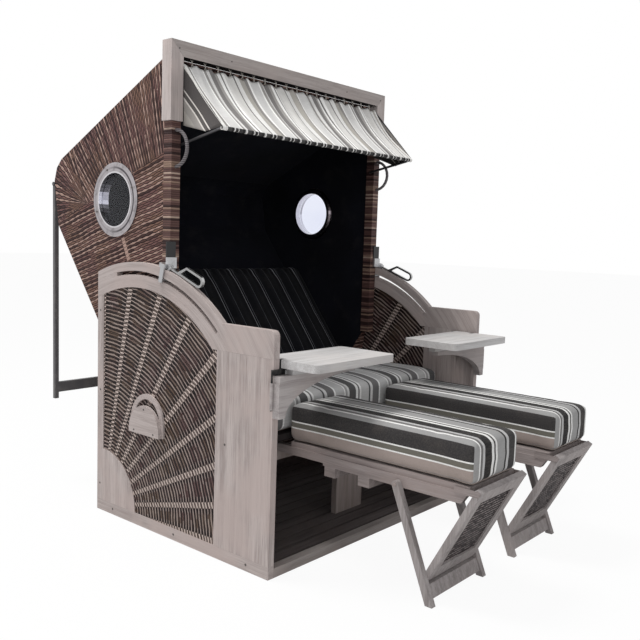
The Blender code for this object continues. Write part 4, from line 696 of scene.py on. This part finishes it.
def lining_cloth():
    """Near-black navy cloth stretched over the inside of the hood."""
    nodes = new_material("lining_cloth", Sheen_Weight=0.02, Roughness=0.95)
    place = nodes.place()
    fold = nodes.noise(place, 3.5, 2.0, 0.5)
    ground = nodes.mix(nodes.step(fold, 0.4, 0.7), tone(16, 18, 27), tone(8, 10, 18))
    out = place_group(nodes, THREADS, Place=place, Pitch=0.002, Colour=ground, Wear=0.12)
    nodes.paint(nodes.mix(0.65, out["Colour"], ground))
    x, y, z = nodes.split(place)
    pull = nodes.noise(nodes.join(x * 9.0, y * 2.0, z * 2.0), 1.0, 2.0, 0.5)
    nodes.bump(pull * 6.0 + out["Height"], 0.3, 0.0012)
    return nodes


WHITE = (230, 230, 228)
PALE = (184, 184, 184)
MIST = (148, 148, 148)
ASH = (104, 103, 103)
OLIVE = (98, 96, 88)
TAUPE = (152, 139, 133)
SOOT = (44, 43, 44)
BLACK = (20, 20, 21)
STRIPE_REPEAT = 0.262
STRIPE_SHARES = [
    (0.00, *MIST), (0.10, *WHITE), (0.125, *ASH), (0.165, *PALE), (0.21, *BLACK), (0.355, *WHITE),
    (0.405, *SOOT), (0.435, *WHITE), (0.475, *MIST), (0.65, *BLACK), (0.685, *PALE), (0.74, *SOOT),
    (0.885, *WHITE), (0.915, *MIST),
]
# Awning stripes: a paler copy of the cover's stripes, as painted sunlight.
AWNING_LIT_SHARES = [
    (0.00, 202, 201, 199), (0.10, 244, 243, 240), (0.125, 130, 127, 124), (0.165, 214, 213, 211),
    (0.21, 96, 93, 92), (0.30, 140, 137, 133), (0.355, 246, 245, 242), (0.40, 78, 76, 76),
    (0.425, 246, 245, 242), (0.465, 206, 204, 200), (0.63, 80, 78, 78), (0.65, 224, 223, 220),
    (0.74, 156, 151, 143), (0.84, 116, 113, 110), (0.885, 246, 245, 242), (0.915, 202, 201, 199),
]
# Hem stripes: a darker copy, as painted shade on the hem rolled round the bow.
HEM_SHADE_SHARES = [
    (0.0, 16, 16, 17), (0.13, 226, 225, 222), (0.17, 34, 33, 34), (0.34, 16, 16, 17),
    (0.50, 196, 195, 192), (0.55, 226, 225, 222), (0.60, 40, 40, 40), (0.80, 16, 16, 17),
    (0.93, 216, 215, 212),
]
# End stripes: the left end a lit copy, as painted light, and the right end a dark copy, as painted shade.
LEFT_END_LIT_SHARES = [
    (0.0, 178, 174, 168), (0.16, 160, 156, 152), (0.335, 226, 222, 216), (0.375, 92, 89, 88),
    (0.475, 226, 222, 216), (0.51, 84, 81, 81), (0.88, 222, 220, 215),
]
RIGHT_END_SHADED_SHARES = [
    (0.0, 34, 35, 36), (0.30, 168, 165, 160), (0.335, 40, 40, 41), (0.45, 150, 147, 143),
    (0.48, 32, 33, 34), (0.80, 120, 117, 114), (0.86, 40, 40, 41),
]
GUSSET_SHARES = [
    (0.00, *MIST), (0.085, *SOOT), (0.44, *WHITE), (0.475, *OLIVE), (0.60, *WHITE), (0.635, *TAUPE),
    (0.985, *SOOT),
]
# Back cushion stripes: near black, as painted shade under the hood, with thin pale lines.
BACK_REPEAT = 0.132
SHADED_BACK_SHARES = [
    (0.0, 12, 13, 18), (0.16, 126, 128, 132), (0.18, 10, 11, 16), (0.24, 98, 100, 105), (0.255, 13, 14, 19),
    (0.50, 20, 21, 26), (0.62, 90, 92, 97), (0.635, 9, 10, 15), (0.84, 16, 17, 22),
]
WINDING_SHARES = [
    (0.0, 54, 38, 37), (0.26, 92, 68, 64), (0.60, 114, 88, 82), (0.82, 142, 118, 104), (0.96, 172, 150, 137),
]

# Woods: name, axis of the grain, contrast, colours (light, dark, warm) and the CAD nodes
GREY = ((188, 178, 175), (146, 135, 132), (180, 166, 162))
RAIL_GREY = ((180, 172, 169), (140, 131, 128), (170, 160, 156))
WOODS = (
    ("upright_boards", "Z", 1.0, GREY, ("base_front_board", "base_rear_stile")),
    ("hood_frame_boards", "Z", 0.7, ((198, 189, 186), (158, 147, 144), (190, 177, 173)), ("frame_member",)),
    ("long_rails", "Y", 0.7, GREY, ("base_rail", "carry_grip")),
    ("arched_rails", "arch", 0.7, GREY, ("base_arch_rail", "base_arch_lath")),
    ("cross_rails", "X", 0.7, ((172, 165, 162), (134, 126, 123), (164, 154, 150)), ("base_front_rail",)),
    ("table_boards", "X", 0.8, ((206, 205, 205), (168, 165, 164), (198, 194, 192)), ("side_table",)),
    ("bracket_boards", "X", 0.7, ((184, 178, 177), (138, 131, 130), (172, 163, 161)), ("table_bracket",)),
    ("tray_boards", "Y", 0.7, ((162, 153, 151), (114, 104, 102), (150, 138, 135)), ("footrest_tray",)),
    ("leg_boards", "Z", 0.7, ((170, 164, 163), (120, 113, 112), (160, 152, 150)),
     ("footrest_legs", "footrest_panel")),
    ("post_board", "Z", 0.7, ((164, 153, 149), (118, 107, 103), (152, 139, 134)), ("seat_post_and_beam",)),
    # The inner boards and floor slats are painted darker than their wood, as painted shade inside the base.
    ("shaded_inner_boards", "Y", 0.7, ((58, 53, 53), (34, 30, 31), (50, 44, 44)), ("seat_board", "pivot_rail")),
    ("shaded_floor_boards", "X", 0.7, ((104, 97, 96), (60, 54, 54), (92, 84, 82)), ("base_floor_slats",)),
)


def stripe_ramp(value, shares):
    """Even stripes; each share starts at a place from 0 to 1 and has red, green and blue, 0 to 255."""
    return value.nodes.ramp(value, [(start, tone(*colour)) for start, *colour in shares])


def finish_cloth(nodes, colour, wear, painted_light_gamma=None, plain=0.0, pitch=0.0016, relief=(0.3, 0.0006)):
    """Threads over a cloth's colour. A gamma first makes the colour paler, as painted light, and plain is
    the share without threads.
    """
    # Painted light: a gamma makes the colour paler.
    if painted_light_gamma is not None:
        painted_light_node = nodes.add("ShaderNodeGamma")
        nodes.feed(painted_light_node.inputs["Color"], colour)
        painted_light_node.inputs["Gamma"].default_value = painted_light_gamma
        colour = painted_light_node.outputs[0]
    out = place_group(nodes, THREADS, Place=nodes.place(), Pitch=pitch, Colour=colour, Wear=wear)
    nodes.paint(nodes.mix(plain, out["Colour"], colour) if plain else out["Colour"])
    nodes.bump(out["Height"], *relief)
    return nodes


def striped_cloth(name, height, shift=0.0, painted_light_gamma=1.0):
    """Striped cover cloth. The UV map holds metres across the cover, and metres down its sides."""
    nodes = new_material(name, Roughness=0.92, Sheen_Weight=0.06)
    across, down = nodes.stripes()
    turn = nodes.math("FRACT", across / STRIPE_REPEAT + shift)
    top = stripe_ramp(turn, STRIPE_SHARES)
    side = stripe_ramp(down / height, GUSSET_SHARES)
    colour = nodes.mix(down > 0.0, top, side)
    return finish_cloth(nodes, colour, 0.35, painted_light_gamma, relief=(0.35, 0.0006))


def shaded_back_cloth():
    """Cover of the back cushion: near black with thin pale pairs of lines; the near black is painted shade
    under the hood.
    """
    nodes = new_material("back_cover_shaded_cloth", Roughness=0.95, Sheen_Weight=0.03)
    x = nodes.split(nodes.place())[0]
    colour = stripe_ramp(nodes.math("FRACT", (x + 1.0) / BACK_REPEAT), SHADED_BACK_SHARES)
    return finish_cloth(nodes, colour, 0.1, plain=0.6)


def awning_cloth_finish():
    """Awning cloth striped along its UV map, with painted sunlight in its pale stripes and paling gamma, and
    painted shade in darker stripes where its hem is rolled round the bow.
    """
    nodes = new_material("awning_stripe_cloth", Roughness=0.9, Sheen_Weight=0.05)
    across, hem = nodes.stripes()
    turn = nodes.math("FRACT", (across + AWNING_SHIFT) / STRIPE_REPEAT)
    open_cloth = stripe_ramp(turn, AWNING_LIT_SHARES)
    # Painted shade: the rolled hem takes a darker copy of the stripes.
    rolled = stripe_ramp(nodes.math("FRACT", turn * 3.0), HEM_SHADE_SHARES)
    colour = nodes.mix(hem > 0.5, open_cloth, rolled)
    edge = abs(across) > (AWNING_HALF - 0.014)
    colour = nodes.mix(edge, colour, tone(236, 234, 230))
    return finish_cloth(nodes, colour, 0.2, painted_light_gamma=0.72)


def awning_end_finish(word, shares):
    """Awning cloth of one end, striped along its UV map from the lower hem up; its stripes carry painted
    light on the left end and painted shade on the right.
    """
    nodes = new_material(f"awning_end_cloth_{word}", Roughness=0.92, Sheen_Weight=0.04)
    return finish_cloth(nodes, stripe_ramp(nodes.stripes()[0], shares), 0.4)


def dress(surface, *names):
    """Gives CAD nodes a finish; a name without a side stands for both sides."""
    for name in names:
        for node in [name] if name in NODES else [f"{name}_{word}" for word in WORDS]:
            mesh = NODES[node].data
            mesh.materials.clear()
            mesh.materials.append(surface.material)


def dress_frame():
    """Finishes of all CAD nodes that stay in sight."""
    for name, along, contrast, colours, nodes in WOODS:
        dress(wood(name, along, colours, contrast), *nodes)
    rise = 1 / cos(radians(PANEL_TILT))
    footrest = panel_weave("footrest_panel_weave", rise, 0.0085, 0.0062, Streak=0.8, Strand=tone(52, 42, 44),
                           Second=tone(64, 54, 54), Third=tone(26, 19, 22), Light=tone(170, 160, 158),
                           depth=0.0025)
    for surface, *names in (
            (rail_finish(), "frame_top_rail"),
            (base_weave(), "base_wicker"),
            (hood_weave(), "hood_side"),
            (shell_weave(), "hood_back_shell"),
            (lining_cloth(), "hood_liner"),
            (post_weave(), "hood_post"),
            (panel_weave("back_panel_weave", 1.0, 0.021, ROW_PITCH), "base_back_panel"),
            (footrest, "footrest_weave"),
            (ring_finish(), "porthole_ring"),
            (latch_finish(), "latch_bracket"),
            (steel("lever_steel", tone(186, 186, 186), 0.26, 0.4), "latch_lever"),
            (steel("bar_steel", tone(96, 95, 98), 0.42, 0.5), "stand_hinge_bar", "awning_bow"),
            (coat("fitting_coat", tone(30, 30, 33), 0.5), "table_fitting"),
            (coat("stand_coat", tone(96, 95, 97), 0.55), "rear_stand"),
            (pane("porthole_pane"), "porthole_glass")):
        dress(surface, *names)


def link_object(name, data):
    """A new object in the scene."""
    made = bpy.data.objects.new(name, data)
    bpy.context.scene.collection.objects.link(made)
    return made


def mesh_of(work, name):
    """The finished mesh of a bmesh, smoothly shaded."""
    mesh = bpy.data.meshes.new(name)
    work.to_mesh(mesh)
    work.free()
    mesh.shade_smooth()
    return mesh


def bridge(work, first, second):
    """Faces between two closed rings of points."""
    for step in range(len(first)):
        after = (step + 1) % len(first)
        work.faces.new((first[step], first[after], second[after], second[step]))


def sheet_faces(work, grid):
    """Faces of a grid of points, each with the number of its row."""
    for row, (first, second) in enumerate(zip(grid, grid[1:])):
        for column in range(len(first) - 1):
            yield row, work.faces.new((first[column], first[column + 1], second[column + 1], second[column]))


def new_piece(name, mesh, surface, body):
    """A shown mesh piece that rides on a body."""
    piece = link_object(name, mesh)
    mesh.materials.append(surface.material)
    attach(piece, body)
    return piece


def soft_box(name, size, corner):
    """A box with rounded edges, built round the origin in small squares, as a start for a stuffed form."""
    work = bmesh.new()
    bmesh.ops.create_cube(work, size=2)
    for axis in range(3):
        along = []
        for edge in work.edges:
            way = edge.verts[1].co - edge.verts[0].co
            if abs(way[axis]) > abs(way[(axis + 1) % 3]) + abs(way[(axis + 2) % 3]):
                along.append(edge)
        cuts = max(int(size[axis] / CLOTH_PITCH) - 1, 6)
        bmesh.ops.subdivide_edges(work, edges=along, cuts=cuts, use_grid_fill=True)
    half = [length / 2 for length in size]
    for vertex in work.verts:
        point = Vector([vertex.co[axis] * half[axis] for axis in range(3)])
        core = Vector([max(corner - half[axis], min(half[axis] - corner, point[axis])) for axis in range(3)])
        over = point - core
        if over.length > 0:
            over = over.normalized() * corner
        vertex.co = core + over
    mesh = bpy.data.meshes.new(name)
    work.to_mesh(mesh)
    work.free()
    return mesh


def inflate(piece, cap):
    """Blows a closed mesh up with a short cloth simulation and limits how far each point may move."""
    scene = bpy.context.scene
    before = [vertex.co.copy() for vertex in piece.data.vertices]
    cloth = piece.modifiers.new("cloth", "CLOTH")
    cloth.settings.use_pressure = True
    cloth.settings.uniform_pressure_force = CUSHION_PRESSURE
    cloth.settings.effector_weights.gravity = 0
    cloth.point_cache.frame_start = 1
    cloth.point_cache.frame_end = CUSHION_FRAMES
    for number in range(1, CUSHION_FRAMES + 1):
        scene.frame_set(number)
    apply_modifiers(piece)
    for vertex, start in zip(piece.data.vertices, before):
        moved = vertex.co - start
        if moved.length > cap:
            vertex.co = start + moved.normalized() * cap
    scene.frame_set(1)


def apply_modifiers(piece):
    graph = bpy.context.evaluated_depsgraph_get()
    graph.update()
    made = bpy.data.meshes.new_from_object(piece.evaluated_get(graph))
    piece.modifiers.clear()
    piece.data = made
    return piece


def subdivide(piece):
    levels = piece.modifiers.new("smooth", "SUBSURF")
    levels.levels = 1
    levels.render_levels = 1
    apply_modifiers(piece)
    piece.data.shade_smooth()


def write_stripes(mesh, half, height, side_panels=True):
    """Writes metres across the cover and, on its sides, metres down from its top edge."""
    layer = mesh.uv_layers.new(name="stripes")
    for face in mesh.polygons:
        normal = face.normal
        side = side_panels and abs(normal.x) > max(abs(normal.y), abs(normal.z) * 1.2)
        for index in face.loop_indices:
            point = mesh.vertices[mesh.loops[index].vertex_index].co
            down = max(height / 2 - point.z, 0.0005) if side else -1.0
            layer.data[index].uv = (point.x + half, down)


def cushion(name, size, corner, cap, surface, shrink=0.005, crown=0.0, side_panels=True):
    """A stuffed cover of this size round the origin, flat below and crowned above."""
    mesh = soft_box(name, [length - 2 * shrink for length in size], corner)
    piece = link_object(name, mesh)
    inflate(piece, cap)
    floor_z = -size.z / 2
    lowest = min(vertex.co.z for vertex in piece.data.vertices)
    for vertex in piece.data.vertices:
        across = 1 - (vertex.co.x / size.x * 2) ** 2
        along = 1 - (vertex.co.y / size.y * 2) ** 2
        if vertex.co.z > 0:
            vertex.co.z += crown * max(across, 0) * max(along, 0) * vertex.co.z / size.z * 2
        else:
            vertex.co.z = max(vertex.co.z + floor_z - max(lowest, floor_z - 0.006), floor_z)
    subdivide(piece)
    for axis in (0, 1):
        reach = max(abs(vertex.co[axis]) for vertex in piece.data.vertices)
        for vertex in piece.data.vertices:
            vertex.co[axis] *= size[axis] / 2 / reach
    write_stripes(piece.data, size.x / 2, size.z, side_panels)
    piece.data.materials.clear()
    piece.data.materials.append(surface.material)
    return piece


def outline_at(mesh, level):
    """The points of a closed mesh's outline at one height, in order round it."""
    work = bmesh.new()
    work.from_mesh(mesh)
    parts = work.verts[:] + work.edges[:] + work.faces[:]
    cut = bmesh.ops.bisect_plane(work, geom=parts, plane_co=(0, 0, level), plane_no=(0, 0, 1))
    edges = [item for item in cut["geom_cut"] if isinstance(item, bmesh.types.BMEdge)]
    places = {vertex.co.copy().freeze() for edge in edges for vertex in edge.verts}
    work.free()
    return sorted(places, key=lambda place: math.atan2(place.y, place.x))


def seam(name, points, surface, body, radius=SEAM_TUBE):
    """A closed piped seam along a ring of points."""
    work = bmesh.new()
    rings = []
    count = len(points)
    for index, place in enumerate(points):
        ahead = (points[(index + 1) % count] - points[index - 1]).normalized()
        side = ahead.cross(Vector((0, 0, 1))).normalized()
        up = side.cross(ahead)
        rings.append([work.verts.new(place + (side * cos(turn) + up * sin(turn)) * radius)
                      for turn in [pi * step / 4 for step in range(8)]])
    for index, ring in enumerate(rings):
        bridge(work, ring, rings[(index + 1) % count])
    return new_piece(name, mesh_of(work, name), surface, body)


def piping(name, piece, level, matrix, surface, body):
    """Piping round a cushion at one height, drawn before the cushion is set in its place."""
    ring = [Vector(place) for place in outline_at(piece.data, level)]
    kept = [ring[0]]
    for place in ring[1:]:
        if (place - kept[-1]).length > 0.006:
            kept.append(place)
    for place in kept:
        place.x *= 1 + 0.0006 / max(abs(place.x), 0.02)
    seam(name, [matrix @ place for place in kept], surface, body)


def piping_cloth():
    """Plain cloth of the cushions' piping."""
    nodes = new_material("piping_cloth", Roughness=0.9)
    return finish_cloth(nodes, tone(150, 138, 132), 0.4, pitch=0.0012, relief=(0.3, 0.0005))


def settle(piece, matrix, body, node):
    """Puts a finished cushion in its place and hands it to its body."""
    piece.data.transform(matrix)
    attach(piece, body)
    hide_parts(node)


def seat_pads():
    """Seat cushion and the two footrest cushions, each with piping along its lower edge."""
    edging = piping_cloth()
    # The seat's cloth is made much paler and the footrests' a little, as painted light.
    for name, node, corner, cap, crown, shift, painted_light_gamma, fill in (
            ("seat_pad", "seat_cushion", 0.024, 0.009, 0.006, 0.40, 0.48, 0.8),
            ("footrest_pad_left", "footrest_cushion_left", 0.018, 0.007, 0.003, 0.0, 0.92, 0.85),
            ("footrest_pad_right", "footrest_cushion_right", 0.018, 0.007, 0.003, 0.0, 0.92, 0.85)):
        low, high = (Vector(corner_point) for corner_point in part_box(node))
        size = high - low
        cloth = striped_cloth(f"{name}_cloth", size.z, shift, painted_light_gamma)
        piece = cushion(name, size, corner, cap, cloth, crown=crown)
        place = Matrix.Translation((low + high) / 2)
        piping(f"{name}_piping", piece, -size.z / 2 + 0.009, place, edging, "base")
        settle(piece, place, "base", node)


def back_pad():
    """Back cushion, leaning on the hood's back, with stuffed channels and a gathered top."""
    lean = math.atan2(BACK_UP[1], BACK_UP[0])
    size = Vector(BACK_SIZE)
    foot = Vector((0, *BACK_FOOT))
    up = Vector((0, *BACK_UP))
    inward = Vector((0, -BACK_UP[1], BACK_UP[0]))
    centre = foot + up * (BACK_RAISE + size.y / 2) + inward * (BACK_LINER + size.z / 2)
    piece = cushion("back_pad", size, 0.030, 0.010, shaded_back_cloth(), side_panels=False)
    for vertex in piece.data.vertices:
        point = vertex.co
        if point.z > -0.02:
            share = min((point.z + 0.02) / (size.z / 2), 1.0)
            wave = (1 - cos(point.x / size.x * 2 * pi * BACK_CHANNELS)) / 2
            near_end = min(1.0, (size.y / 2 - abs(point.y)) / 0.05)
            point.z -= 0.010 * wave * share * max(near_end, 0.25)
            gather = math.exp(-((point.y - size.y / 2 + 0.02) / 0.045) ** 2)
            point.z -= 0.009 * gather * (1 - cos(point.x * 2 * pi / BACK_GATHER)) / 2 * share
    settle(piece, Matrix.Translation(centre) @ Matrix.Rotation(lean, 4, "X"), "hood", "back_cushion")


def awning():
    """One cloth from under the top rail, sagging to the bow and rolled round it, with laces and two ends."""
    top = Vector((0, *AWNING_TOP))
    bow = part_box("awning_bow")
    bar = Vector((0, bow[0][1] + BOW_RADIUS, bow[1][2] - BOW_RADIUS))
    away = (bar - top).normalized()
    outward = Vector((0, away.z, -away.y))
    edge = bar + outward * AWNING_ROLL
    run = edge - top
    work = bmesh.new()
    layer = work.loops.layers.uv.new("stripes")
    grid = []
    for row in range(AWNING_ROWS + ROLL_ROWS + 1):
        line = []
        reach = min(row / AWNING_ROWS, 1.0)
        for column in range(AWNING_COLUMNS + 1):
            across = 2 * column / AWNING_COLUMNS - 1
            gather = 0.0030 * cos(across * pi * AWNING_FOLDS * 2)
            fold = gather + 0.0014 * sin(across * pi * 31 + 1.3)
            fold *= (1 - reach) ** 1.2
            ripple = 0.0016 * sin(across * 61 + 4.0 * reach) * sin(pi * reach)
            slack = 1 - 0.75 * math.exp(-((across + 1) / 0.07) ** 2)
            sag = AWNING_SAG * sin(pi * reach) * (1 - 0.25 * reach) * slack
            point = top + run * reach + outward * (fold + ripple - sag)
            if row == 0:
                point.z -= 0.0035 * abs(sin(across * pi * AWNING_FOLDS))
            if row > AWNING_ROWS:
                turn = radians(ROLL_STEP) * (row - AWNING_ROWS)
                radius = AWNING_ROLL + 0.0007 * sin(across * pi * 47)
                point = bar + (outward * cos(turn) + away * sin(turn)) * radius
            point.x = across * AWNING_HALF
            line.append(work.verts.new(point))
        grid.append(line)
    for row, face in sheet_faces(work, grid):
        for loop in face.loops:
            loop[layer].uv = (loop.vert.co.x, 1.0 if row >= AWNING_ROWS else 0.0)
    mesh = mesh_of(work, "awning_sheet")
    sheet = link_object("awning_sheet", mesh)
    mesh.materials.append(awning_cloth_finish().material)
    thicken(sheet)
    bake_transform(sheet)
    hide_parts("awning_cloth")
    awning_laces(top)
    # Each end has its own stripe colours: painted light on the left, painted shade on the right.
    for (word, side), shares in zip(SIDES, (LEFT_END_LIT_SHARES, RIGHT_END_SHADED_SHARES)):
        awning_end(word, side, top, edge, awning_end_finish(word, shares))


def thicken(sheet):
    """Gives a sheet the thickness of its cloth."""
    wall = sheet.modifiers.new("wall", "SOLIDIFY")
    wall.thickness = 0.0014
    wall.offset = 0
    apply_modifiers(sheet)


def awning_laces(top):
    """Thin crossed laces that hold the awning's top edge to the underside of the rail."""
    work = bmesh.new()
    for index in range(AWNING_FOLDS * 2):
        middle = ((index + 0.5) / (AWNING_FOLDS * 2) * 2 - 1) * (AWNING_HALF - 0.012)
        for lean in (-0.0045, 0.0045):
            low = Vector((middle - lean, top.y - 0.0016, top.z - 0.0050))
            high = Vector((middle + lean, top.y + 0.001, RAIL_UNDERSIDE))
            knee = (low + high) / 2 + Vector((0, -0.0022, 0))
            rings = []
            for share in (0.0, 0.25, 0.5, 0.75, 1.0):
                place = low.lerp(knee, share).lerp(knee.lerp(high, share), share)
                turns = [pi * step / 3 for step in range(6)]
                around = [Vector((cos(turn), sin(turn), 0)) for turn in turns]
                rings.append([work.verts.new(place + away * LACE_RADIUS) for away in around])
            for first, second in zip(rings, rings[1:]):
                bridge(work, first, second)
    nodes = new_material("lace_thread", Roughness=0.85)
    twist = nodes.noise(nodes.place(), 900.0, 2.0, 0.5)
    nodes.paint(nodes.mix(twist, tone(214, 210, 202), tone(160, 154, 146)))
    new_piece("awning_laces", mesh_of(work, "awning_laces"), nodes, "hood")


def awning_end(word, side, top, tip, finish):
    """Cloth at one end of the awning: down the post, forward over the bow's arm and up to its corner."""
    rear = Vector((0, *AWNING_REAR))
    low = Vector((0, *AWNING_LOW[word]))
    steps = 16
    work = bmesh.new()
    layer = work.loops.layers.uv.new("stripes")
    inner = AWNING_HALF - 0.0008
    rows = []
    for row in range(steps + 1):
        down = row / steps
        line = []
        for column in range(steps + 1):
            ahead = column / steps
            point = top.lerp(tip, ahead).lerp(rear.lerp(low, ahead), down)
            slack = 0.007 * sin(pi * ahead) * sin(pi * min(down * 1.1, 1.0))
            slack += 0.0025 * sin(9 * ahead + 5 * down) * down * (1 - ahead)
            outside = inner + (AWNING_LOW_X - inner) * down * sin(pi * ahead / 2)
            point.x = side * (outside - abs(slack) * (1 - down * ahead))
            line.append(work.verts.new(point))
        rows.append(line)
    for row, face in sheet_faces(work, rows):
        for loop in face.loops:
            up = (loop.vert.co.z - loop.vert.co.y) * math.sqrt(0.5)
            loop[layer].uv = ((up - END_START) / END_HEIGHT, 0.0)
    mesh = mesh_of(work, f"awning_end_{word}")
    piece = link_object(f"awning_end_{word}", mesh)
    mesh.materials.append(finish.material)
    thicken(piece)
    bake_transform(piece)


def screws():
    """Screw heads of the base, the grips and the portholes, each a domed disc with a dimple."""
    dark = steel("screw_steel", tone(96, 92, 90), 0.45)
    spots = []
    for word, side in SIDES:
        x = side * BASE_HALF
        for y in (0.096, 0.443, 0.788):
            spots.append(((x, y, 0.020), (side, 0, 0), 0.0042, "base"))
        for y, z in ((0.201, 0.376), (0.868, 0.10), (0.868, 0.45), (0.868, 0.74)):
            spots.append(((x, y, z), (side, 0, 0), 0.0038, "base"))
        block = side * GRIP_FACE
        for y, z in ((0.588, 0.424), (0.535, 0.346), (0.641, 0.346)):
            spots.append(((block, y, z), (side, 0, 0), 0.0036, "base"))
        low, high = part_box(f"porthole_ring_{word}")
        port_y = (low[1] + high[1]) / 2
        flange = side * PORT_FACE
        for turn in (68, 158, 248, 338):
            angle = radians(turn)
            y = port_y + PORT_SCREWS * cos(angle)
            z = PORT_HEIGHT + PORT_SCREWS * sin(angle)
            spots.append(((flange, y, z), (side, 0, 0), 0.0046, "hood"))
        for x_share in (0.32, 0.55):
            spots.append(((side * x_share, 0.508, 1.622), (0, -1, 0), 0.003, "hood"))
    for index, (place, facing, radius, body) in enumerate(spots):
        screw_head(f"screw_{index:02d}", place, facing, radius, body, dark)


def screw_head(name, place, facing, radius, body, surface):
    """A domed disc with a dimple in its middle, turned to face one way."""
    work = bmesh.new()
    rings = []
    for share, rise in ((1.0, 0.0), (0.92, 0.30), (0.6, 0.42), (0.25, 0.46)):
        ring = []
        for step in range(16):
            angle = 2 * pi * step / 16
            ring.append(work.verts.new((radius * share * cos(angle), radius * share * sin(angle),
                                        radius * rise * 0.6)))
        rings.append(ring)
    for inner, outer in zip(rings[1:], rings):
        bridge(work, outer, inner)
    middle = work.verts.new((0, 0, radius * 0.05))
    for step in range(16):
        work.faces.new((rings[-1][step], rings[-1][(step + 1) % 16], middle))
    mesh = mesh_of(work, name)
    turn = Vector(facing).to_track_quat("Z", "Y").to_matrix().to_4x4()
    mesh.transform(Matrix.Translation(place) @ turn)
    new_piece(name, mesh, surface, body)


def floor():
    """Pale floor that keeps the chair's shadow, and melts into the white backdrop."""
    work = bmesh.new()
    bmesh.ops.create_grid(work, x_segments=1, y_segments=1, size=30)
    mesh = bpy.data.meshes.new("floor")
    work.to_mesh(mesh)
    work.free()
    mesh.transform(Matrix.Translation((0, 0, -0.0015)))
    nodes = new_material("floor_pale", Roughness=0.9)
    nodes.paint(tone(238, 238, 238))
    glow = nodes.add("ShaderNodeEmission")
    glow.inputs["Color"].default_value = (1, 1, 1, 1)
    mixer = nodes.add("ShaderNodeMixShader")
    path = nodes.add("ShaderNodeLightPath")
    seen = nodes.math("MAXIMUM", nodes.math("MULTIPLY", path.outputs["Is Camera Ray"], 0.94),
                      path.outputs["Is Transmission Ray"])
    nodes.feed(mixer.inputs[0], seen)
    shader = nodes.tree.nodes["Principled BSDF"]
    out = nodes.tree.nodes["Material Output"]
    nodes.tree.links.new(shader.outputs[0], mixer.inputs[1])
    nodes.tree.links.new(glow.outputs[0], mixer.inputs[2])
    nodes.tree.links.new(mixer.outputs[0], out.inputs["Surface"])
    piece = link_object("floor", mesh)
    mesh.materials.append(nodes.material)


def world():
    """White to the camera and in glass and metal, and a soft grey light on the chair."""
    sky = bpy.data.worlds.new("studio")
    sky.use_nodes = True
    bpy.context.scene.world = sky
    nodes = Nodes(sky.node_tree)
    plain = sky.node_tree.nodes["Background"]
    plain.inputs["Color"].default_value = (0.99, 0.99, 1.0, 1.0)
    plain.inputs["Strength"].default_value = 0.58
    white = nodes.add("ShaderNodeBackground")
    white.inputs["Color"].default_value = (1, 1, 1, 1)
    path = nodes.add("ShaderNodeLightPath")
    seen = nodes.math("MAXIMUM", path.outputs["Is Camera Ray"], path.outputs["Is Transmission Ray"])
    seen = nodes.math("MAXIMUM", seen, path.outputs["Is Glossy Ray"])
    mixer = nodes.add("ShaderNodeMixShader")
    nodes.feed(mixer.inputs[0], seen)
    nodes.tree.links.new(plain.outputs[0], mixer.inputs[1])
    nodes.tree.links.new(white.outputs[0], mixer.inputs[2])
    nodes.tree.links.new(mixer.outputs[0], sky.node_tree.nodes["World Output"].inputs["Surface"])


def lamp(name, place, target, size, watts, colour=(1, 1, 1)):
    light = bpy.data.lights.new(name, "AREA")
    light.shape = "DISK"
    light.size = size
    light.energy = watts
    light.color = colour
    holder = link_object(name, light)
    holder.location = place
    holder.rotation_euler = (Vector(place) - Vector(target)).to_track_quat("Z", "Y").to_euler()


def camera():
    yaw, pitch, roll = (radians(value) for value in (CAMERA_YAW, CAMERA_PITCH, CAMERA_ROLL))
    ahead = Vector((sin(yaw) * cos(pitch), cos(yaw) * cos(pitch), -sin(pitch)))
    right = Vector((cos(yaw), -sin(yaw), 0))
    up = right.cross(ahead)
    across = right * cos(roll) + up * sin(roll)
    upward = up * cos(roll) - right * sin(roll)
    lens = bpy.data.cameras.new("camera")
    lens.lens = CAMERA_LENS
    lens.sensor_width = SENSOR
    holder = link_object("camera", lens)
    rows = Matrix((across, upward, -ahead)).transposed().to_4x4()
    holder.matrix_world = Matrix.Translation(CAMERA_PLACE) @ rows
    bpy.context.scene.camera = holder


def studio():
    bpy.context.scene.view_settings.view_transform = "Standard"
    world()
    floor()
    lamp("key", (-1.5, 1.5, 4.9), (0, 0.2, 0.6), 1.5, 165, (1.0, 0.99, 0.97))
    lamp("fill", (-3.4, -2.8, 2.2), (0, 0.2, 0.7), 2.6, 22)
    camera()


def build():
    studio()
    dress_frame()
    seat_pads()
    back_pad()
    awning()
    screws()


build()
